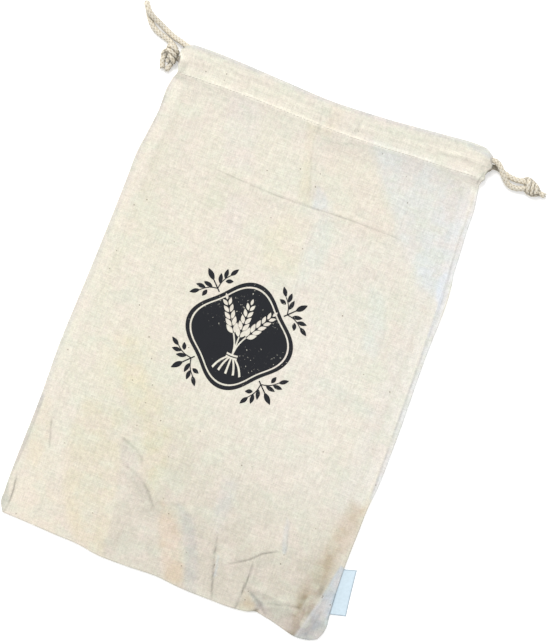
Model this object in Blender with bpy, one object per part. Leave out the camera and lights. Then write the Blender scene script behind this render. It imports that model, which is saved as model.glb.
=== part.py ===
# A linen bread bag that lies empty on its back, its mouth towards +Y.
# One length of cloth is folded across the bottom and sewn up both sides. Its ends
# are turned in as hems, which make a casing on the front and one on the back. Two
# drawcords run right round the mouth through both casings, one knotted at the
# left and one at the right, and a blank label is sewn into the right side seam.
# Sizes are in millimetres until to_metres, with X across the bag and Y up it.
import bpy
import bmesh
import numpy as np

MM = 0.001
MIDDLE_X = 8.0          # middle of the bag and its label, which becomes X = 0

# Cloth, cords and the space between neighbours
CLOTH = 1.0             # thickness of the cloth
CORD = 5.0              # diameter of a drawcord
CLEARANCE = 0.46        # least space between two layers, or a layer and a cord
EDGE_SPACE = 0.5        # space between front and back beside the seams
PUFF = 1.7              # what the air in the bag adds to that away from the seams
PUFF_REACH = 38.0       # how far from a seam the front has risen fully
SEAM_HOLD = 14.0        # how far from a seam it stops holding the folds down
SUNK_REACH = 26.0       # the same for the slope from the casing, which sinks to the seams
SUNK_RUN = 12.0         # length of that sinking, from the top of the seam

# How the layers lie in the casings
BACK_CORD_TOP = 4.3     # a cord whose middle is lower than this lies in the back casing
BACK_HEM_LIFT = 0.4     # what each hem stands off the layer below it, beside its clearance
FRONT_HEM_LIFT = 0.6
HEM_DRAPE = 1.1         # roundness of a hem over a cord, as a share of its height over it
FRONT_DRAPE = 2.1       # the same for the front, which bridges the cords more widely
CASING_RUN = 30.0       # how far the front takes to fall from the hems to the panel
CASING_FOOT = 2.0       # height that it would fall to if the panel weren't there
RIDGE_SPACE = 0.3       # what the front stands off the cords beside its clearance
HEM_BLEND = 0.8         # how softly a hem's rise over a cord meets its flat
SLOPE_BLEND = 2.0       # the same where the slope from the casing meets the panel
RIDGE_BLEND = 0.7       # the same where the cords' ridges rise from the front

# Depths below the folded top edge
FOLD_DEPTH = 2.6        # where the rolled edge becomes the flat of the casing
BACK_FOLD_DEPTH = 1.5   # the same on the back, which lies flatter
BACK_RISE = 1.2         # the back's top edge shows this far above the front's
FRONT_HEM = 24.3        # raw edge of the front hem
BACK_HEM = 27.8         # raw edge of the back hem
SEAM_TOP = 27.0         # top of the side seams, where the side slits end
HEM_END = 133.0         # the hems stop short of the sides, so the cords can turn
HEM_NARROWS = 112.0     # from here out the hems' columns draw in towards that end
HEM_ROWS = (FRONT_HEM, 21.6, 19, 16.4, 14, 11.8, 9.6, 7.4, 4.8, FOLD_DEPTH)
CASING_ROWS = (FOLD_DEPTH, 4.6, 7, 9.6, 12.2, 15, 18, 21, 24)
BACK_ROWS = (18, 9, 4.5, BACK_FOLD_DEPTH)
BACK_HEM_ROWS = (0.8, 5, 8.8, 10.8, 12.8, 14.6, 16.4, 18.2, 19.8, 21.6, 23.4, 25.2, BACK_HEM)

# Spacing of the mesh's columns across the bag and of its rows below the casing
COLUMN_SPACING = [(-155, 4), (-141, 9), (30, 9.5), (60, 7.5), (132, 7), (157, 3.6)]
ROW_SPACING = [(-230, 5.8), (-150, 7), (-110, 12), (0, 18), (95, 16), (128, 7.5), (160, 12), (200, 7)]

# Outline of the bag, as (y, x) down its sides and (x, y) along its ends
LEFT_EDGE = [(-223, -149.5), (-215, -154), (-205, -154.5), (-110, -154.5), (-70, -155.5), (10, -153.5),
             (98, -152), (120, -152), (130, -151), (140, -149), (150, -147), (160, -145.2), (190, -145),
             (195, -144.3), (200, -142.3), (205, -144.3), (210, -145.5), (222, -144.8), (226.5, -140.5)]
RIGHT_EDGE = [(-232, 149), (-230, 150.5), (-222, 156), (-217, 157), (-206, 156), (-160, 153.3), (-125, 153.5),
              (-100, 154), (-85, 155.5), (-50, 156), (38, 154), (110, 152.7), (120, 151), (135, 150),
              (165, 148), (180, 147.5), (195, 145), (203.5, 144), (208, 146.3), (212.5, 144.8), (216, 146),
              (230.5, 145.2), (233, 143)]
BOTTOM_EDGE = [(-155, -222.7), (-130, -223.5), (-100, -225), (-75, -226), (-60, -228.5), (-30, -229),
               (0, -228), (20, -230), (50, -230.5), (75, -230), (86, -228.3), (93, -225.4), (101, -227),
               (110, -228.5), (120, -231), (135, -234), (149, -232.5), (157, -231)]
TOP_EDGE = [(-145, 226.3), (-120, 227.3), (-100, 227), (-50, 225), (0, 223.5), (20, 224.5), (50, 226.5),
            (80, 229.5), (100, 231.5), (120, 233.5), (130, 234), (140, 233), (145, 231)]
NOTCH_X = 93.0          # the pinch in the bottom edge, which a column of the mesh meets

# Folds in the front: height, how far it spreads left and right of its line, and the line
FOLDS = [
    dict(height=1.1, left=5, right=11, line=[(-98, 132), (-60, 130), (-20, 128.5), (30, 130.5), (110, 130)]),
    dict(height=1.2, left=6, right=10, line=[(-8, 197), (-5, 170), (1, 155), (8, 128)]),
    dict(height=-0.7, left=8, right=8, line=[(-140, -122), (-134, -137), (-130, -150), (-128, -160)]),
    dict(height=1.0, left=9, right=6, line=[(-80, -120), (-60, -127), (-48, -139)]),
    dict(height=3.4, left=15, right=7, line=[(-70, -144), (-50, -149), (-33, -160), (-27, -170), (-14, -177)]),
    dict(height=2.0, left=12, right=9, line=[(-52, -150), (-52, -190), (-53, -226)]),
    dict(height=0.9, left=7, right=7, line=[(-16, -158), (0, -165), (14, -168)]),
    dict(height=-1.2, left=8, right=7, line=[(36, -172), (43, -200), (53, -232)]),
    dict(height=3.2, left=14, right=6, line=[(50, -198), (60, -191), (77, -179), (98, -167)]),
    dict(height=2.6, left=6, right=9, line=[(75, -178), (77, -195), (76, -228)]),
    dict(height=1.4, left=8, right=6, line=[(91, -140), (96, -158), (101, -178)]),
    dict(height=0.8, left=8, right=8, line=[(108, -62), (106, -85), (100, -102)]),
    dict(height=2.4, left=7, right=5, line=[(74, -205), (85, -212), (98, -221)]),
    dict(height=2.2, left=8, right=6, line=[(96, -219), (110, -214), (124, -210)]),
    dict(height=6.5, left=13, right=8, line=[(151, -158), (148, -178), (145, -190), (141, -205), (136, -240)]),
    dict(height=-1.0, left=9, right=9, line=[(134, -90), (132, -150), (124, -200)]),
    dict(height=0.7, left=5, right=7, line=[(40, 96), (80, 97), (130, 92)]),
    dict(height=0.7, left=6, right=7, line=[(55, -8), (90, -13), (145, -18)]),
]

# Routes of the cords. The left one leaves its knot, doubles back on itself and goes
# through the front casing, round the far side slit and home through the back one.
LEFT_ROUTE = [
    (-154.9, 220.2, 4.2), (-158.6, 222.6, 3.0), (-164, 224.6, 2.55), (-170, 226.1, 2.55), (-175, 228, 2.55),
    (-179.2, 230.8, 2.55), (-182.5, 234.3, 2.55), (-185.6, 238.7, 2.6), (-188.4, 243.5, 2.65),
    (-190, 246.2, 3.4), (-190.7, 247.4, 5.85), (-190.2, 246.6, 8.2), (-188.4, 243.8, 9.15),
    (-185.4, 240.4, 8.6), (-182, 238.3, 7.3), (-178, 236.6, 5.4), (-173.5, 234.9, 3.7), (-168.5, 232.6, 2.75),
    (-162, 229.8, 2.6), (-156, 227.6, 3.1), (-150, 226, 5.0), (-144.5, 224.2, 6.8), (-134, 222.6, 7.42),
    (-90, 222.6, 7.42), (-40, 220.5, 7.42), (10, 219.7, 7.42), (60, 223.3, 7.42), (100, 227.3, 7.42),
    (134.3, 229, 7.4), (139.3, 228.1, 5.8), (141.8, 225, 4.25), (141.5, 221.5, 3.9), (138.6, 218.7, 3.9),
    (132, 217.4, 3.9), (100, 215.6, 3.9), (60, 211.6, 3.9), (10, 208, 3.9), (-40, 208.9, 3.9),
    (-90, 210.9, 3.9), (-134, 210.9, 3.9), (-142, 210.8, 3.9), (-147.3, 211, 4.4)]
# The right one leaves its knot, crosses itself beside the mouth and goes round the same way.
RIGHT_ROUTE = [
    (180.5, 212.2, 4.3), (174.5, 210.4, 3.1), (169, 210.9, 3.8), (163.6, 213.9, 6.4), (159.2, 218.4, 8.3),
    (155.4, 222.4, 8.9), (151, 225.4, 9.2), (146, 225.5, 9.6), (139.5, 224.4, 10), (134, 224, 9.85),
    (100, 222, 9.75), (60, 218, 9.75), (10, 214.4, 9.75), (-40, 215.3, 9.75), (-90, 217.3, 9.75),
    (-134, 217.3, 9.7), (-139.6, 216.1, 9.5), (-142.6, 212.8, 9.4), (-142.8, 209, 9.3), (-141.4, 205.9, 8.2),
    (-138.4, 204.7, 5.9), (-133.4, 205.2, 4.1), (-128, 205.5, 3.9), (-90, 205.5, 3.9), (-40, 203.5, 3.9),
    (10, 202.6, 3.9), (60, 206.2, 3.9), (100, 210.2, 3.9), (134, 212, 3.9), (139.5, 212.7, 3.9),
    (144.8, 216.1, 4.0), (149.2, 220.8, 3.3), (154.5, 221.6, 2.6), (161, 219.6, 2.55), (167, 218.2, 2.6),
    (173, 217.8, 2.9), (180.9, 218.6, 4.5)]

# Knots: middle, half sizes, turn about Z in degrees, and the loose ends out of each
KNOTS = {
    "left_knot": dict(middle=(-153.6, 211.7, 5.65), half=(7.2, 9.4, 5.9), turn=8,
                      ends=[[(-156.2, 208, 4.2), (-158, 203, 2.8), (-159.4, 198.4, 2.3)],
                            [(-152.4, 206, 4.4), (-152.6, 201.5, 3), (-154, 197.2, 2.4)]]),
    "right_knot": dict(middle=(187.0, 216, 5.65), half=(7.6, 7.6, 5.9), turn=-20,
                       ends=[[(190, 213.6, 4.4), (195, 213.6, 3), (200.2, 212.6, 2.3)]]),
}
KNOT_STRAND = 2.4       # radius of the cord inside a knot
KNOT_VOXEL = 1.55       # size of the cubes that a knot's strands are fused with

LABEL = dict(top=-162.5, bottom=-204.5, tip_rise=3.5, top_width=11.0, bottom_width=14.0, thick=1.0)

COLOURS = {
    "bag_cloth": (0.85, 0.82, 0.73, 1),
    "left_cord": (0.80, 0.75, 0.62, 1), "left_knot": (0.80, 0.75, 0.62, 1),
    "right_cord": (0.80, 0.75, 0.62, 1), "right_knot": (0.80, 0.75, 0.62, 1),
    "side_label": (0.93, 0.94, 0.95, 1),
}
ROUGHNESS = {"side_label": 0.45}


def to_metres(points):
    """Points in millimetres, moved to the part's own frame."""
    return (np.asarray(points, float) - (MIDDLE_X, 0, 0)) * MM


def curve_at(table, where):
    """Values at places on a smooth curve through a table of (place, value...) rows."""
    rows = np.asarray(table, float)
    place, value = rows[:, 0], rows[:, 1:]
    slope = np.gradient(value, place, axis=0)
    where = np.clip(np.asarray(where, float), place[0], place[-1])
    i = np.clip(np.searchsorted(place, where, side="right") - 1, 0, len(place) - 2)
    step = (place[i + 1] - place[i])[..., None]
    s = ((where - place[i]) / step[..., 0])[..., None]
    out = ((2 * s**3 - 3 * s**2 + 1) * value[i] + (s**3 - 2 * s**2 + s) * step * slope[i]
           + (3 * s**2 - 2 * s**3) * value[i + 1] + (s**3 - s**2) * step * slope[i + 1])
    return out[..., 0] if out.shape[-1] == 1 else out


def ease(value):
    """0 below 0, 1 above 1, and a smooth rise between."""
    value = np.clip(value, 0, 1)
    return value * value * (3 - 2 * value)


def higher(a, b, soft):
    """The higher of two heights, with their crossing rounded off."""
    return 0.5 * (a + b + np.sqrt((a - b) ** 2 + soft**2))


def graded(start, end, spacings):
    """Stations from start to end whose spacing follows a table of (place, spacing)."""
    places = np.linspace(start, end, 2000)
    density = 1 / curve_at(sorted(spacings), places)
    count = np.concatenate([[0], np.cumsum((density[1:] + density[:-1]) / 2 * abs(np.diff(places)))])
    wanted = 2 * max(1, round(count[-1] / 2)) + 1
    return np.interp(np.linspace(0, count[-1], wanted), count, places)


def cord_line(route, spacing=1.5):
    """Close-set points on the smooth curve through a route's points."""
    route = np.asarray(route, float)
    steps = np.linalg.norm(np.diff(route, axis=0), axis=1)
    along = np.concatenate([[0], np.cumsum(np.sqrt(steps))])
    fine = curve_at(np.column_stack([along, route]), np.linspace(0, along[-1], 4000))
    run = np.concatenate([[0], np.cumsum(np.linalg.norm(np.diff(fine, axis=0), axis=1))])
    even = np.linspace(0, run[-1], int(run[-1] / spacing) + 1)
    return np.column_stack([np.interp(even, run, fine[:, k]) for k in range(3)])


def thinned(line, sag=0.12, longest=13.0):
    """Fewest points of a line whose chords stay within sag of it and under longest."""
    kept = [0]
    while kept[-1] < len(line) - 1:
        first = kept[-1]
        last = first + 1
        while last < len(line) - 1:
            chord = line[last + 1] - line[first]
            length = np.linalg.norm(chord)
            off = np.linalg.norm(np.cross(line[first:last + 2] - line[first], chord / length), axis=1)
            if length > longest or off.max() > sag:
                break
            last += 1
        kept.append(last)
    return line[kept]


def lift_over(cords, x, y, reach, drape):
    """Height of a sheet's middle over the cords: reach above each, falling as a parabola."""
    away = (x[..., None] - cords[:, 0]) ** 2 + (y[..., None] - cords[:, 1]) ** 2
    return (cords[:, 2] + reach - away / (2 * drape)).max(axis=-1)


def slope_from(cords, x, y, reach, run, foot):
    """Height of a sheet's middle that eases down from reach above the nearest cord to a foot."""
    away = np.hypot(x[..., None] - cords[:, 0], y[..., None] - cords[:, 1])
    top = cords[away.argmin(axis=-1), 2] + reach
    return foot + (top - foot) * ease(1 - away.min(axis=-1) / run)


class Mouth:
    """Heights of the cloth's layers, which lie over each other and the cords in the casings."""

    def __init__(self):
        self.all_cords = np.concatenate([cord_line(LEFT_ROUTE), cord_line(RIGHT_ROUTE)])
        low = (self.all_cords[:, 2] < BACK_CORD_TOP) & (abs(self.all_cords[:, 0]) < HEM_END + 1)
        self.back_cords = self.all_cords[low]
        self.to_cord = CORD / 2 + CLEARANCE + CLOTH / 2
        self.layer = CLOTH + CLEARANCE

    def back_hem(self, x, y):
        base = CLOTH / 2 + self.layer + BACK_HEM_LIFT
        return higher(lift_over(self.back_cords, x, y, self.to_cord, self.to_cord * HEM_DRAPE), base, HEM_BLEND)

    def front_hem(self, x, y):
        base = CLOTH / 2 + 2 * self.layer + FRONT_HEM_LIFT
        reach = self.to_cord + self.layer
        return higher(lift_over(self.back_cords, x, y, reach, reach * HEM_DRAPE), base, HEM_BLEND)

    def front(self, x, y):
        """Middle of the front: the panel, its slope up to the casing, and the cords' ridges."""
        reach = self.to_cord + 2 * self.layer
        over_hems = slope_from(self.back_cords, x, y, reach, CASING_RUN, CASING_FOOT)
        panel = higher(over_hems, front_panel(x, y), SLOPE_BLEND)
        seam_top = curve_at(TOP_EDGE, x) - SEAM_TOP
        beside_seam = 1 - ease(side_distance(x, y) / SUNK_REACH)
        low_edge = CLOTH * 1.5 + EDGE_SPACE + FRONT_HEM_LIFT
        sunk = beside_seam * ease((seam_top + 1.5 - y) / SUNK_RUN)
        panel = panel + (np.minimum(panel, low_edge) - panel) * sunk
        ridges = lift_over(self.all_cords, x, y, self.to_cord + RIDGE_SPACE, self.to_cord * FRONT_DRAPE)
        return higher(panel, ridges, RIDGE_BLEND)


def side_distance(x, y):
    return np.minimum(x - curve_at(LEFT_EDGE, y), curve_at(RIGHT_EDGE, y) - x)


def fold_height(fold, x, y):
    """A soft ridge or trough along a fold's line, steeper on one side, fading at its ends."""
    line = np.asarray(fold["line"], float)
    lengths = np.linalg.norm(np.diff(line, axis=0), axis=1)
    starts = np.concatenate([[0], np.cumsum(lengths)])
    best = np.full(x.shape, np.inf)
    side = np.zeros(x.shape)
    place = np.zeros(x.shape)
    for start, end, length, before in zip(line[:-1], line[1:], lengths, starts):
        along = (end - start) / length
        s = np.clip((x - start[0]) * along[0] + (y - start[1]) * along[1], 0, length)
        dx = x - start[0] - along[0] * s
        dy = y - start[1] - along[1] * s
        near = np.hypot(dx, dy) < best
        best = np.where(near, np.hypot(dx, dy), best)
        side = np.where(near, along[0] * dy - along[1] * dx, side)
        place = np.where(near, (before + s) / starts[-1], place)
    spread = np.where(side > 0, fold["left"], fold["right"])
    fade = ease(place / 0.25) * ease((1 - place) / 0.25)
    return fold["height"] * np.exp(-((best / spread) ** 2)) * (0.15 + 0.85 * fade)


def front_panel(x, y):
    """Middle of the front below the casing: a slight crown with the folds on it."""
    from_edge = np.minimum(side_distance(x, y), y - curve_at(BOTTOM_EDGE, x))
    lowest = CLOTH * 1.5 + EDGE_SPACE
    height = lowest + PUFF * ease(from_edge / PUFF_REACH)
    edge_hold = 0.45 + 0.55 * ease(from_edge / SEAM_HOLD)
    for fold in FOLDS:
        height = height + fold_height(fold, x, y) * edge_hold
    return higher(height, lowest, 0.35)


def columns():
    """Nominal places of the front's columns, from 0 at the left edge to 1 at the right."""
    stations = graded(BOTTOM_EDGE[0][0], BOTTOM_EDGE[-1][0], COLUMN_SPACING)
    stations[1 + abs(stations[1:-1] - NOTCH_X).argmin()] = NOTCH_X
    return stations


def between_edges(stations, left, right):
    """X of a row's points, spread between the row's own left and right ends."""
    share = (stations - stations[0]) / (stations[-1] - stations[0])
    return left + (right - left) * share


def outer_row(stations, level):
    """X and Y of a row on the outside of the bag, whose Y at each X is level(X)."""
    y = level(stations)
    x = between_edges(stations, curve_at(LEFT_EDGE, y[0]), curve_at(RIGHT_EDGE, y[-1]))
    return x, level(x)


def below_top(depth, rise=0.0):
    """The line that runs at a depth below the top edge, or below one that is higher."""
    return lambda x: curve_at(TOP_EDGE, x) + rise - depth


def panel_line(share):
    """The line that runs part of the way from the top of the seams to the bottom edge."""
    top = below_top(SEAM_TOP)
    return lambda x: top(x) + (curve_at(BOTTOM_EDGE, x) - top(x)) * share


def hem_row(outer):
    """X of a row on a hem, whose last columns are drawn in to the hem's end."""
    sizes = abs(outer)
    ends = np.where(outer < 0, sizes[0], sizes[-1])
    drawn = HEM_NARROWS + (sizes - HEM_NARROWS) * (HEM_END - HEM_NARROWS) / (ends - HEM_NARROWS)
    return np.sign(outer) * np.where(sizes > HEM_NARROWS, drawn, sizes)


def front_surface(mouth):
    """Middle of the cloth from the front hem's raw edge, over the top, to the bottom fold."""
    stations = columns()
    fold_x = between_edges(stations, LEFT_EDGE[-1][1], RIGHT_EDGE[-1][1])
    hem_x = hem_row(fold_x)
    rows = []
    for depth in HEM_ROWS:
        y = curve_at(TOP_EDGE, hem_x) - depth
        rows.append((hem_x, y, mouth.front_hem(hem_x, y)))
    hem_z = rows[-1][2]
    for turn in np.radians([-55, -25, 5, 35, 65]):
        x = hem_x + (fold_x - hem_x) * (1 + np.sin(turn)) / 2
        top = curve_at(TOP_EDGE, x) - FOLD_DEPTH
        outer_z = mouth.front(x, top)
        z = (hem_z + outer_z) / 2 + (outer_z - hem_z) / 2 * np.sin(turn)
        rows.append((x, top + (FOLD_DEPTH - 0.4) * np.cos(turn), z))
    for depth in CASING_ROWS:
        x, y = outer_row(stations, below_top(depth))
        rows.append((x, y, mouth.front(x, y)))
    seam_row = len(rows)
    levels = graded(198, -228, ROW_SPACING)
    for share in (levels - levels[0]) / (levels[-1] - levels[0]):
        x, y = outer_row(stations, panel_line(share))
        rows.append((x, y, mouth.front(x, y)))
    return np.array([np.column_stack(row) for row in rows]), seam_row


def back_surface(mouth, front, seam_row):
    """Middle of the cloth from the bottom fold, under the bag, to the back hem's raw edge."""
    rows = [row for row in front[seam_row:][::-2, ::2].copy()]
    for row in rows:
        row[:, 2] = CLOTH / 2
    seam_row = len(rows) - 1
    stations = columns()[::2]
    for depth in BACK_ROWS:
        x, y = outer_row(stations, below_top(depth, BACK_RISE))
        rows.append(np.column_stack([x, y, np.full(len(x), CLOTH / 2)]))
    outer_x = rows[-1][:, 0]
    hem_x = hem_row(outer_x)
    fold_line = below_top(BACK_FOLD_DEPTH, BACK_RISE)
    hem_z = mouth.back_hem(hem_x, fold_line(hem_x))
    for turn in np.radians([-50, 0, 50]):
        x = hem_x + (outer_x - hem_x) * (1 - np.sin(turn)) / 2
        z = (CLOTH / 2 + hem_z) / 2 + (hem_z - CLOTH / 2) / 2 * np.sin(turn)
        rows.append(np.column_stack([x, fold_line(x) + (BACK_FOLD_DEPTH - 0.1) * np.cos(turn), z]))
    for depth in BACK_HEM_ROWS:
        y = below_top(depth)(hem_x)
        rows.append(np.column_stack([hem_x, y, mouth.back_hem(hem_x, y)]))
    return np.array(rows), seam_row


def directions(surface, axis):
    """Unit directions along a grid's rows or columns, halved at each bend."""
    surface = np.moveaxis(surface, axis, 0)
    steps = np.diff(surface, axis=0)
    steps /= np.linalg.norm(steps, axis=-1, keepdims=True)
    halved = np.concatenate([steps[:1], steps[:-1] + steps[1:], steps[-1:]])
    return np.moveaxis(halved, 0, axis)


def both_sides(surface):
    """The cloth's outside and inside, half its thickness either side of its middle."""
    normal = np.cross(directions(surface, 0), directions(surface, 1))
    normal /= np.linalg.norm(normal, axis=-1, keepdims=True)
    return surface + normal * CLOTH / 2, surface - normal * CLOTH / 2


def new_object(name, bm):
    """An object from a bmesh, with its faces turned outwards and its own material."""
    bmesh.ops.recalc_face_normals(bm, faces=bm.faces)
    mesh = bpy.data.meshes.new(name)
    bm.to_mesh(mesh)
    bm.free()
    mesh.shade_smooth()
    return placed(bpy.data.objects.new(name, mesh))


def placed(thing):
    material = bpy.data.materials.new(thing.name + "_material")
    material.use_nodes = True
    shader = material.node_tree.nodes["Principled BSDF"]
    shader.inputs["Base Color"].default_value = COLOURS[thing.name]
    shader.inputs["Roughness"].default_value = ROUGHNESS.get(thing.name, 0.9)
    thing.data.materials.append(material)
    bpy.context.scene.collection.objects.link(thing)
    return thing


def add_grid(bm, points):
    """Vertices of a grid, with its faces, as an array of the vertices."""
    verts = np.array([[bm.verts.new(point) for point in row] for row in to_metres(points)], object)
    for j in range(verts.shape[0] - 1):
        for i in range(verts.shape[1] - 1):
            bm.faces.new((verts[j, i], verts[j, i + 1], verts[j + 1, i + 1], verts[j + 1, i]))
    return verts


def join_chains(bm, fine, coarse):
    """Faces between two chains of vertices, the first with twice the second's spaces."""
    for i in range(len(coarse) - 1):
        a, b, c = fine[2 * i:2 * i + 3]
        bm.faces.new((a, b, coarse[i]))
        bm.faces.new((b, coarse[i + 1], coarse[i]))
        bm.faces.new((b, c, coarse[i + 1]))


def add_rim(bm, one, other):
    for i in range(len(one) - 1):
        bm.faces.new((one[i], one[i + 1], other[i + 1], other[i]))


def bag_cloth():
    """The whole cloth as one closed sheet: front and back joined below and at the seams."""
    mouth = Mouth()
    front, front_seam = front_surface(mouth)
    back, back_seam = back_surface(mouth, front, front_seam)
    front_out, front_in = both_sides(front)
    back_out, back_in = both_sides(back)
    closed_rows = ((front_in, slice(front_seam, None), -1), (back_in, slice(None, back_seam + 1), 0))
    for surface, rows, end in closed_rows:
        surface[rows, 0, 0] += CLOTH
        surface[rows, -1, 0] -= CLOTH
        surface[end, :, 1] += CLOTH
    bm = bmesh.new()
    sides = []
    for front_points, back_points in ((front_out, back_out), (front_in, back_in)):
        front_verts = add_grid(bm, front_points)
        back_verts = add_grid(bm, back_points)
        join_chains(bm, front_verts[-1], back_verts[0])
        for column in (0, -1):
            join_chains(bm, front_verts[front_seam:, column][::-1], back_verts[:back_seam + 1, column])
        sides.append((front_verts, back_verts))
    (front_out, back_out), (front_in, back_in) = sides
    add_rim(bm, front_out[0], front_in[0])
    add_rim(bm, back_out[-1], back_in[-1])
    for column in (0, -1):
        add_rim(bm, front_out[:front_seam + 1, column], front_in[:front_seam + 1, column])
        add_rim(bm, back_out[back_seam:, column], back_in[back_seam:, column])
        bm.faces.new((front_out[front_seam, column], back_out[back_seam, column],
                      back_in[back_seam, column], front_in[front_seam, column]))
    return new_object("bag_cloth", bm)


def drawcord(name, route):
    """A plain tube along a cord's route."""
    curve = bpy.data.curves.new(name, "CURVE")
    curve.dimensions = "3D"
    curve.bevel_depth = CORD / 2 * MM
    curve.bevel_resolution = 2
    curve.use_fill_caps = True
    line = to_metres(thinned(cord_line(route)))
    spline = curve.splines.new("POLY")
    spline.points.add(len(line) - 1)
    for point, place in zip(spline.points, line):
        point.co = (*place, 1)
    return placed(bpy.data.objects.new(name, curve))


def tube(bm, line, radius, sides=8):
    """A closed tube along a line, whose rings stand square to it."""
    ahead = np.gradient(line, axis=0)
    ahead /= np.linalg.norm(ahead, axis=1, keepdims=True)
    across = np.cross(ahead, (0.0, 0.25, 1.0))
    across /= np.linalg.norm(across, axis=1, keepdims=True)
    up = np.cross(across, ahead)
    turns = np.linspace(0, 2 * np.pi, sides, endpoint=False)
    rings = [[bm.verts.new(to_metres(point + radius * (np.cos(a) * u + np.sin(a) * v))) for a in turns]
             for point, u, v in zip(line, across, up)]
    for one, other in zip(rings[:-1], rings[1:]):
        for i in range(sides):
            bm.faces.new((one[i], one[i - 1], other[i - 1], other[i]))
    return rings


def knot(name, middle, half, turn, ends):
    """A pulled knot: the strands of an overhand knot about a core, with its loose ends, fused."""
    angle = np.linspace(0, 2 * np.pi, 49)
    shape = np.column_stack([np.sin(angle) + 2 * np.sin(2 * angle), np.cos(angle) - 2 * np.cos(2 * angle),
                             -np.sin(3 * angle)]) / (3, 3, 1)
    reach = np.array(half) - KNOT_STRAND
    c, s = np.cos(np.radians(turn)), np.sin(np.radians(turn))
    line = (shape * reach) @ np.array([[c, s, 0], [-s, c, 0], [0, 0, 1]]) + middle
    bm = bmesh.new()
    rings = tube(bm, line, KNOT_STRAND)
    bmesh.ops.remove_doubles(bm, verts=rings[0] + rings[-1], dist=0.3 * MM)
    for end in ends:
        rings = tube(bm, cord_line(end), KNOT_STRAND * 0.85)
        bm.faces.new(rings[0])
        bm.faces.new(rings[-1][::-1])
    core = bmesh.ops.create_icosphere(bm, subdivisions=2, radius=1)["verts"]
    for vert in core:
        vert.co = to_metres(np.array(vert.co) * reach * (0.75, 0.75, 0.85) + middle)
    thing = new_object(name, bm)
    fuse = thing.modifiers.new("fuse", "REMESH")
    fuse.mode = "VOXEL"
    fuse.voxel_size = KNOT_VOXEL * MM
    return thing


def side_label(top, bottom, tip_rise, top_width, bottom_width, thick):
    """A small blank label that comes out of the right seam and lies on the table."""
    across, down = np.meshgrid(np.linspace(0, 1, 5), np.linspace(0, 1, 9))
    root_y = top + (bottom - top) * down
    root_x = curve_at(RIGHT_EDGE, root_y) + CLEARANCE
    width = top_width + (bottom_width - top_width) * down
    droop = 0.55 * (1 - ease(across / 0.6)) + 0.12 * np.sin(np.pi * down) * (1 - across)
    surface = np.dstack([root_x + width * across, root_y + tip_rise * across, thick / 2 + droop])
    bm = bmesh.new()
    lower = add_grid(bm, surface - (0, 0, thick / 2))
    upper = add_grid(bm, surface + (0, 0, thick / 2))
    for edge in (np.s_[0, :], np.s_[-1, :], np.s_[:, 0], np.s_[:, -1]):
        add_rim(bm, lower[edge], upper[edge])
    return new_object("side_label", bm)


for old in list(bpy.data.objects):
    bpy.data.objects.remove(old, do_unlink=True)

bag_cloth()
drawcord("left_cord", LEFT_ROUTE)
drawcord("right_cord", RIGHT_ROUTE)
for knot_name, sizes in KNOTS.items():
    knot(knot_name, **sizes)
side_label(**LABEL)
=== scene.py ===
import bmesh
import bpy
import numpy as np
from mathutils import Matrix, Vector
from mathutils.geometry import delaunay_2d_cdt


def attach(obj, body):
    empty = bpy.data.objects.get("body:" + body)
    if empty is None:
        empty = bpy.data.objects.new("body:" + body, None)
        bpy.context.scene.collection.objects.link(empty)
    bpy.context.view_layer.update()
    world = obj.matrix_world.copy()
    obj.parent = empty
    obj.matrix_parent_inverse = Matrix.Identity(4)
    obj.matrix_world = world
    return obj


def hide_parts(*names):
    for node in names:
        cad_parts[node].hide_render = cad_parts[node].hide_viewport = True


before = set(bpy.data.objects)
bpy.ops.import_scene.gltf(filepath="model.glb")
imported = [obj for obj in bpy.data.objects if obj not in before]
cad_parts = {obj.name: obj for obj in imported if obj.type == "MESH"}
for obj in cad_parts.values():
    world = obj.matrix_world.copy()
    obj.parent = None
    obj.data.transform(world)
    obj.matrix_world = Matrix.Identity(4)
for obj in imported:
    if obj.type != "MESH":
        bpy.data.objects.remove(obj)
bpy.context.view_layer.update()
bagMiddle = 8.0          # the X that is 0 in the frame


def inMetres(points):
    return (np.asarray(points, float) - (bagMiddle, 0, 0)) * 0.001


# A colour from its 0 to 255 screen values, in linear light
def screenColour(*levels):
    levels = np.array(levels) / 255
    return (*np.where(levels <= 0.04045, levels / 12.92, ((levels + 0.055) / 1.055) ** 2.4), 1.0)


# The colour that cloth or cord is given, for its dye and for light and shade painted on it, to show these
# screen values in the light below
def dyeAndShade(*levels):
    red, green, blue, alpha = screenColour(*levels)
    return (red / light["level"], green / light["level"], blue / light["level"], alpha)


# The picture, taken from straight above
shot = dict(
    middle=(16.9, 23.2),     # the point of the bag in the middle of the picture
    turn=20.9,               # how far the bag lies turned clockwise in it, in degrees
    tall=573.3,              # how much of the table the picture's height takes in
    lens=85, sensor=36, focusHeight=3,
)


def makeCamera():
    data = bpy.data.cameras.new("camera")
    data.lens = shot["lens"]
    data.sensor_width = shot["sensor"]
    camera = bpy.data.objects.new("camera", data)
    distance = shot["tall"] / 2 / (data.sensor_width / 2 / data.lens) + shot["focusHeight"]
    camera.location = inMetres((*shot["middle"], distance))
    camera.rotation_euler = (0, 0, np.radians(shot["turn"]))
    bpy.context.scene.collection.objects.link(camera)
    bpy.context.scene.camera = camera


light = dict(
    level=1.25,              # light on the table, where 1 shows white paper as white
    sky=0.72, skyColour=(1.0, 1.0, 1.0),
    key=150.0, keyColour=(1.0, 0.99, 0.97), keyFrom=(-1700, 2150, 3700), keySize=1.8,
)


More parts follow.
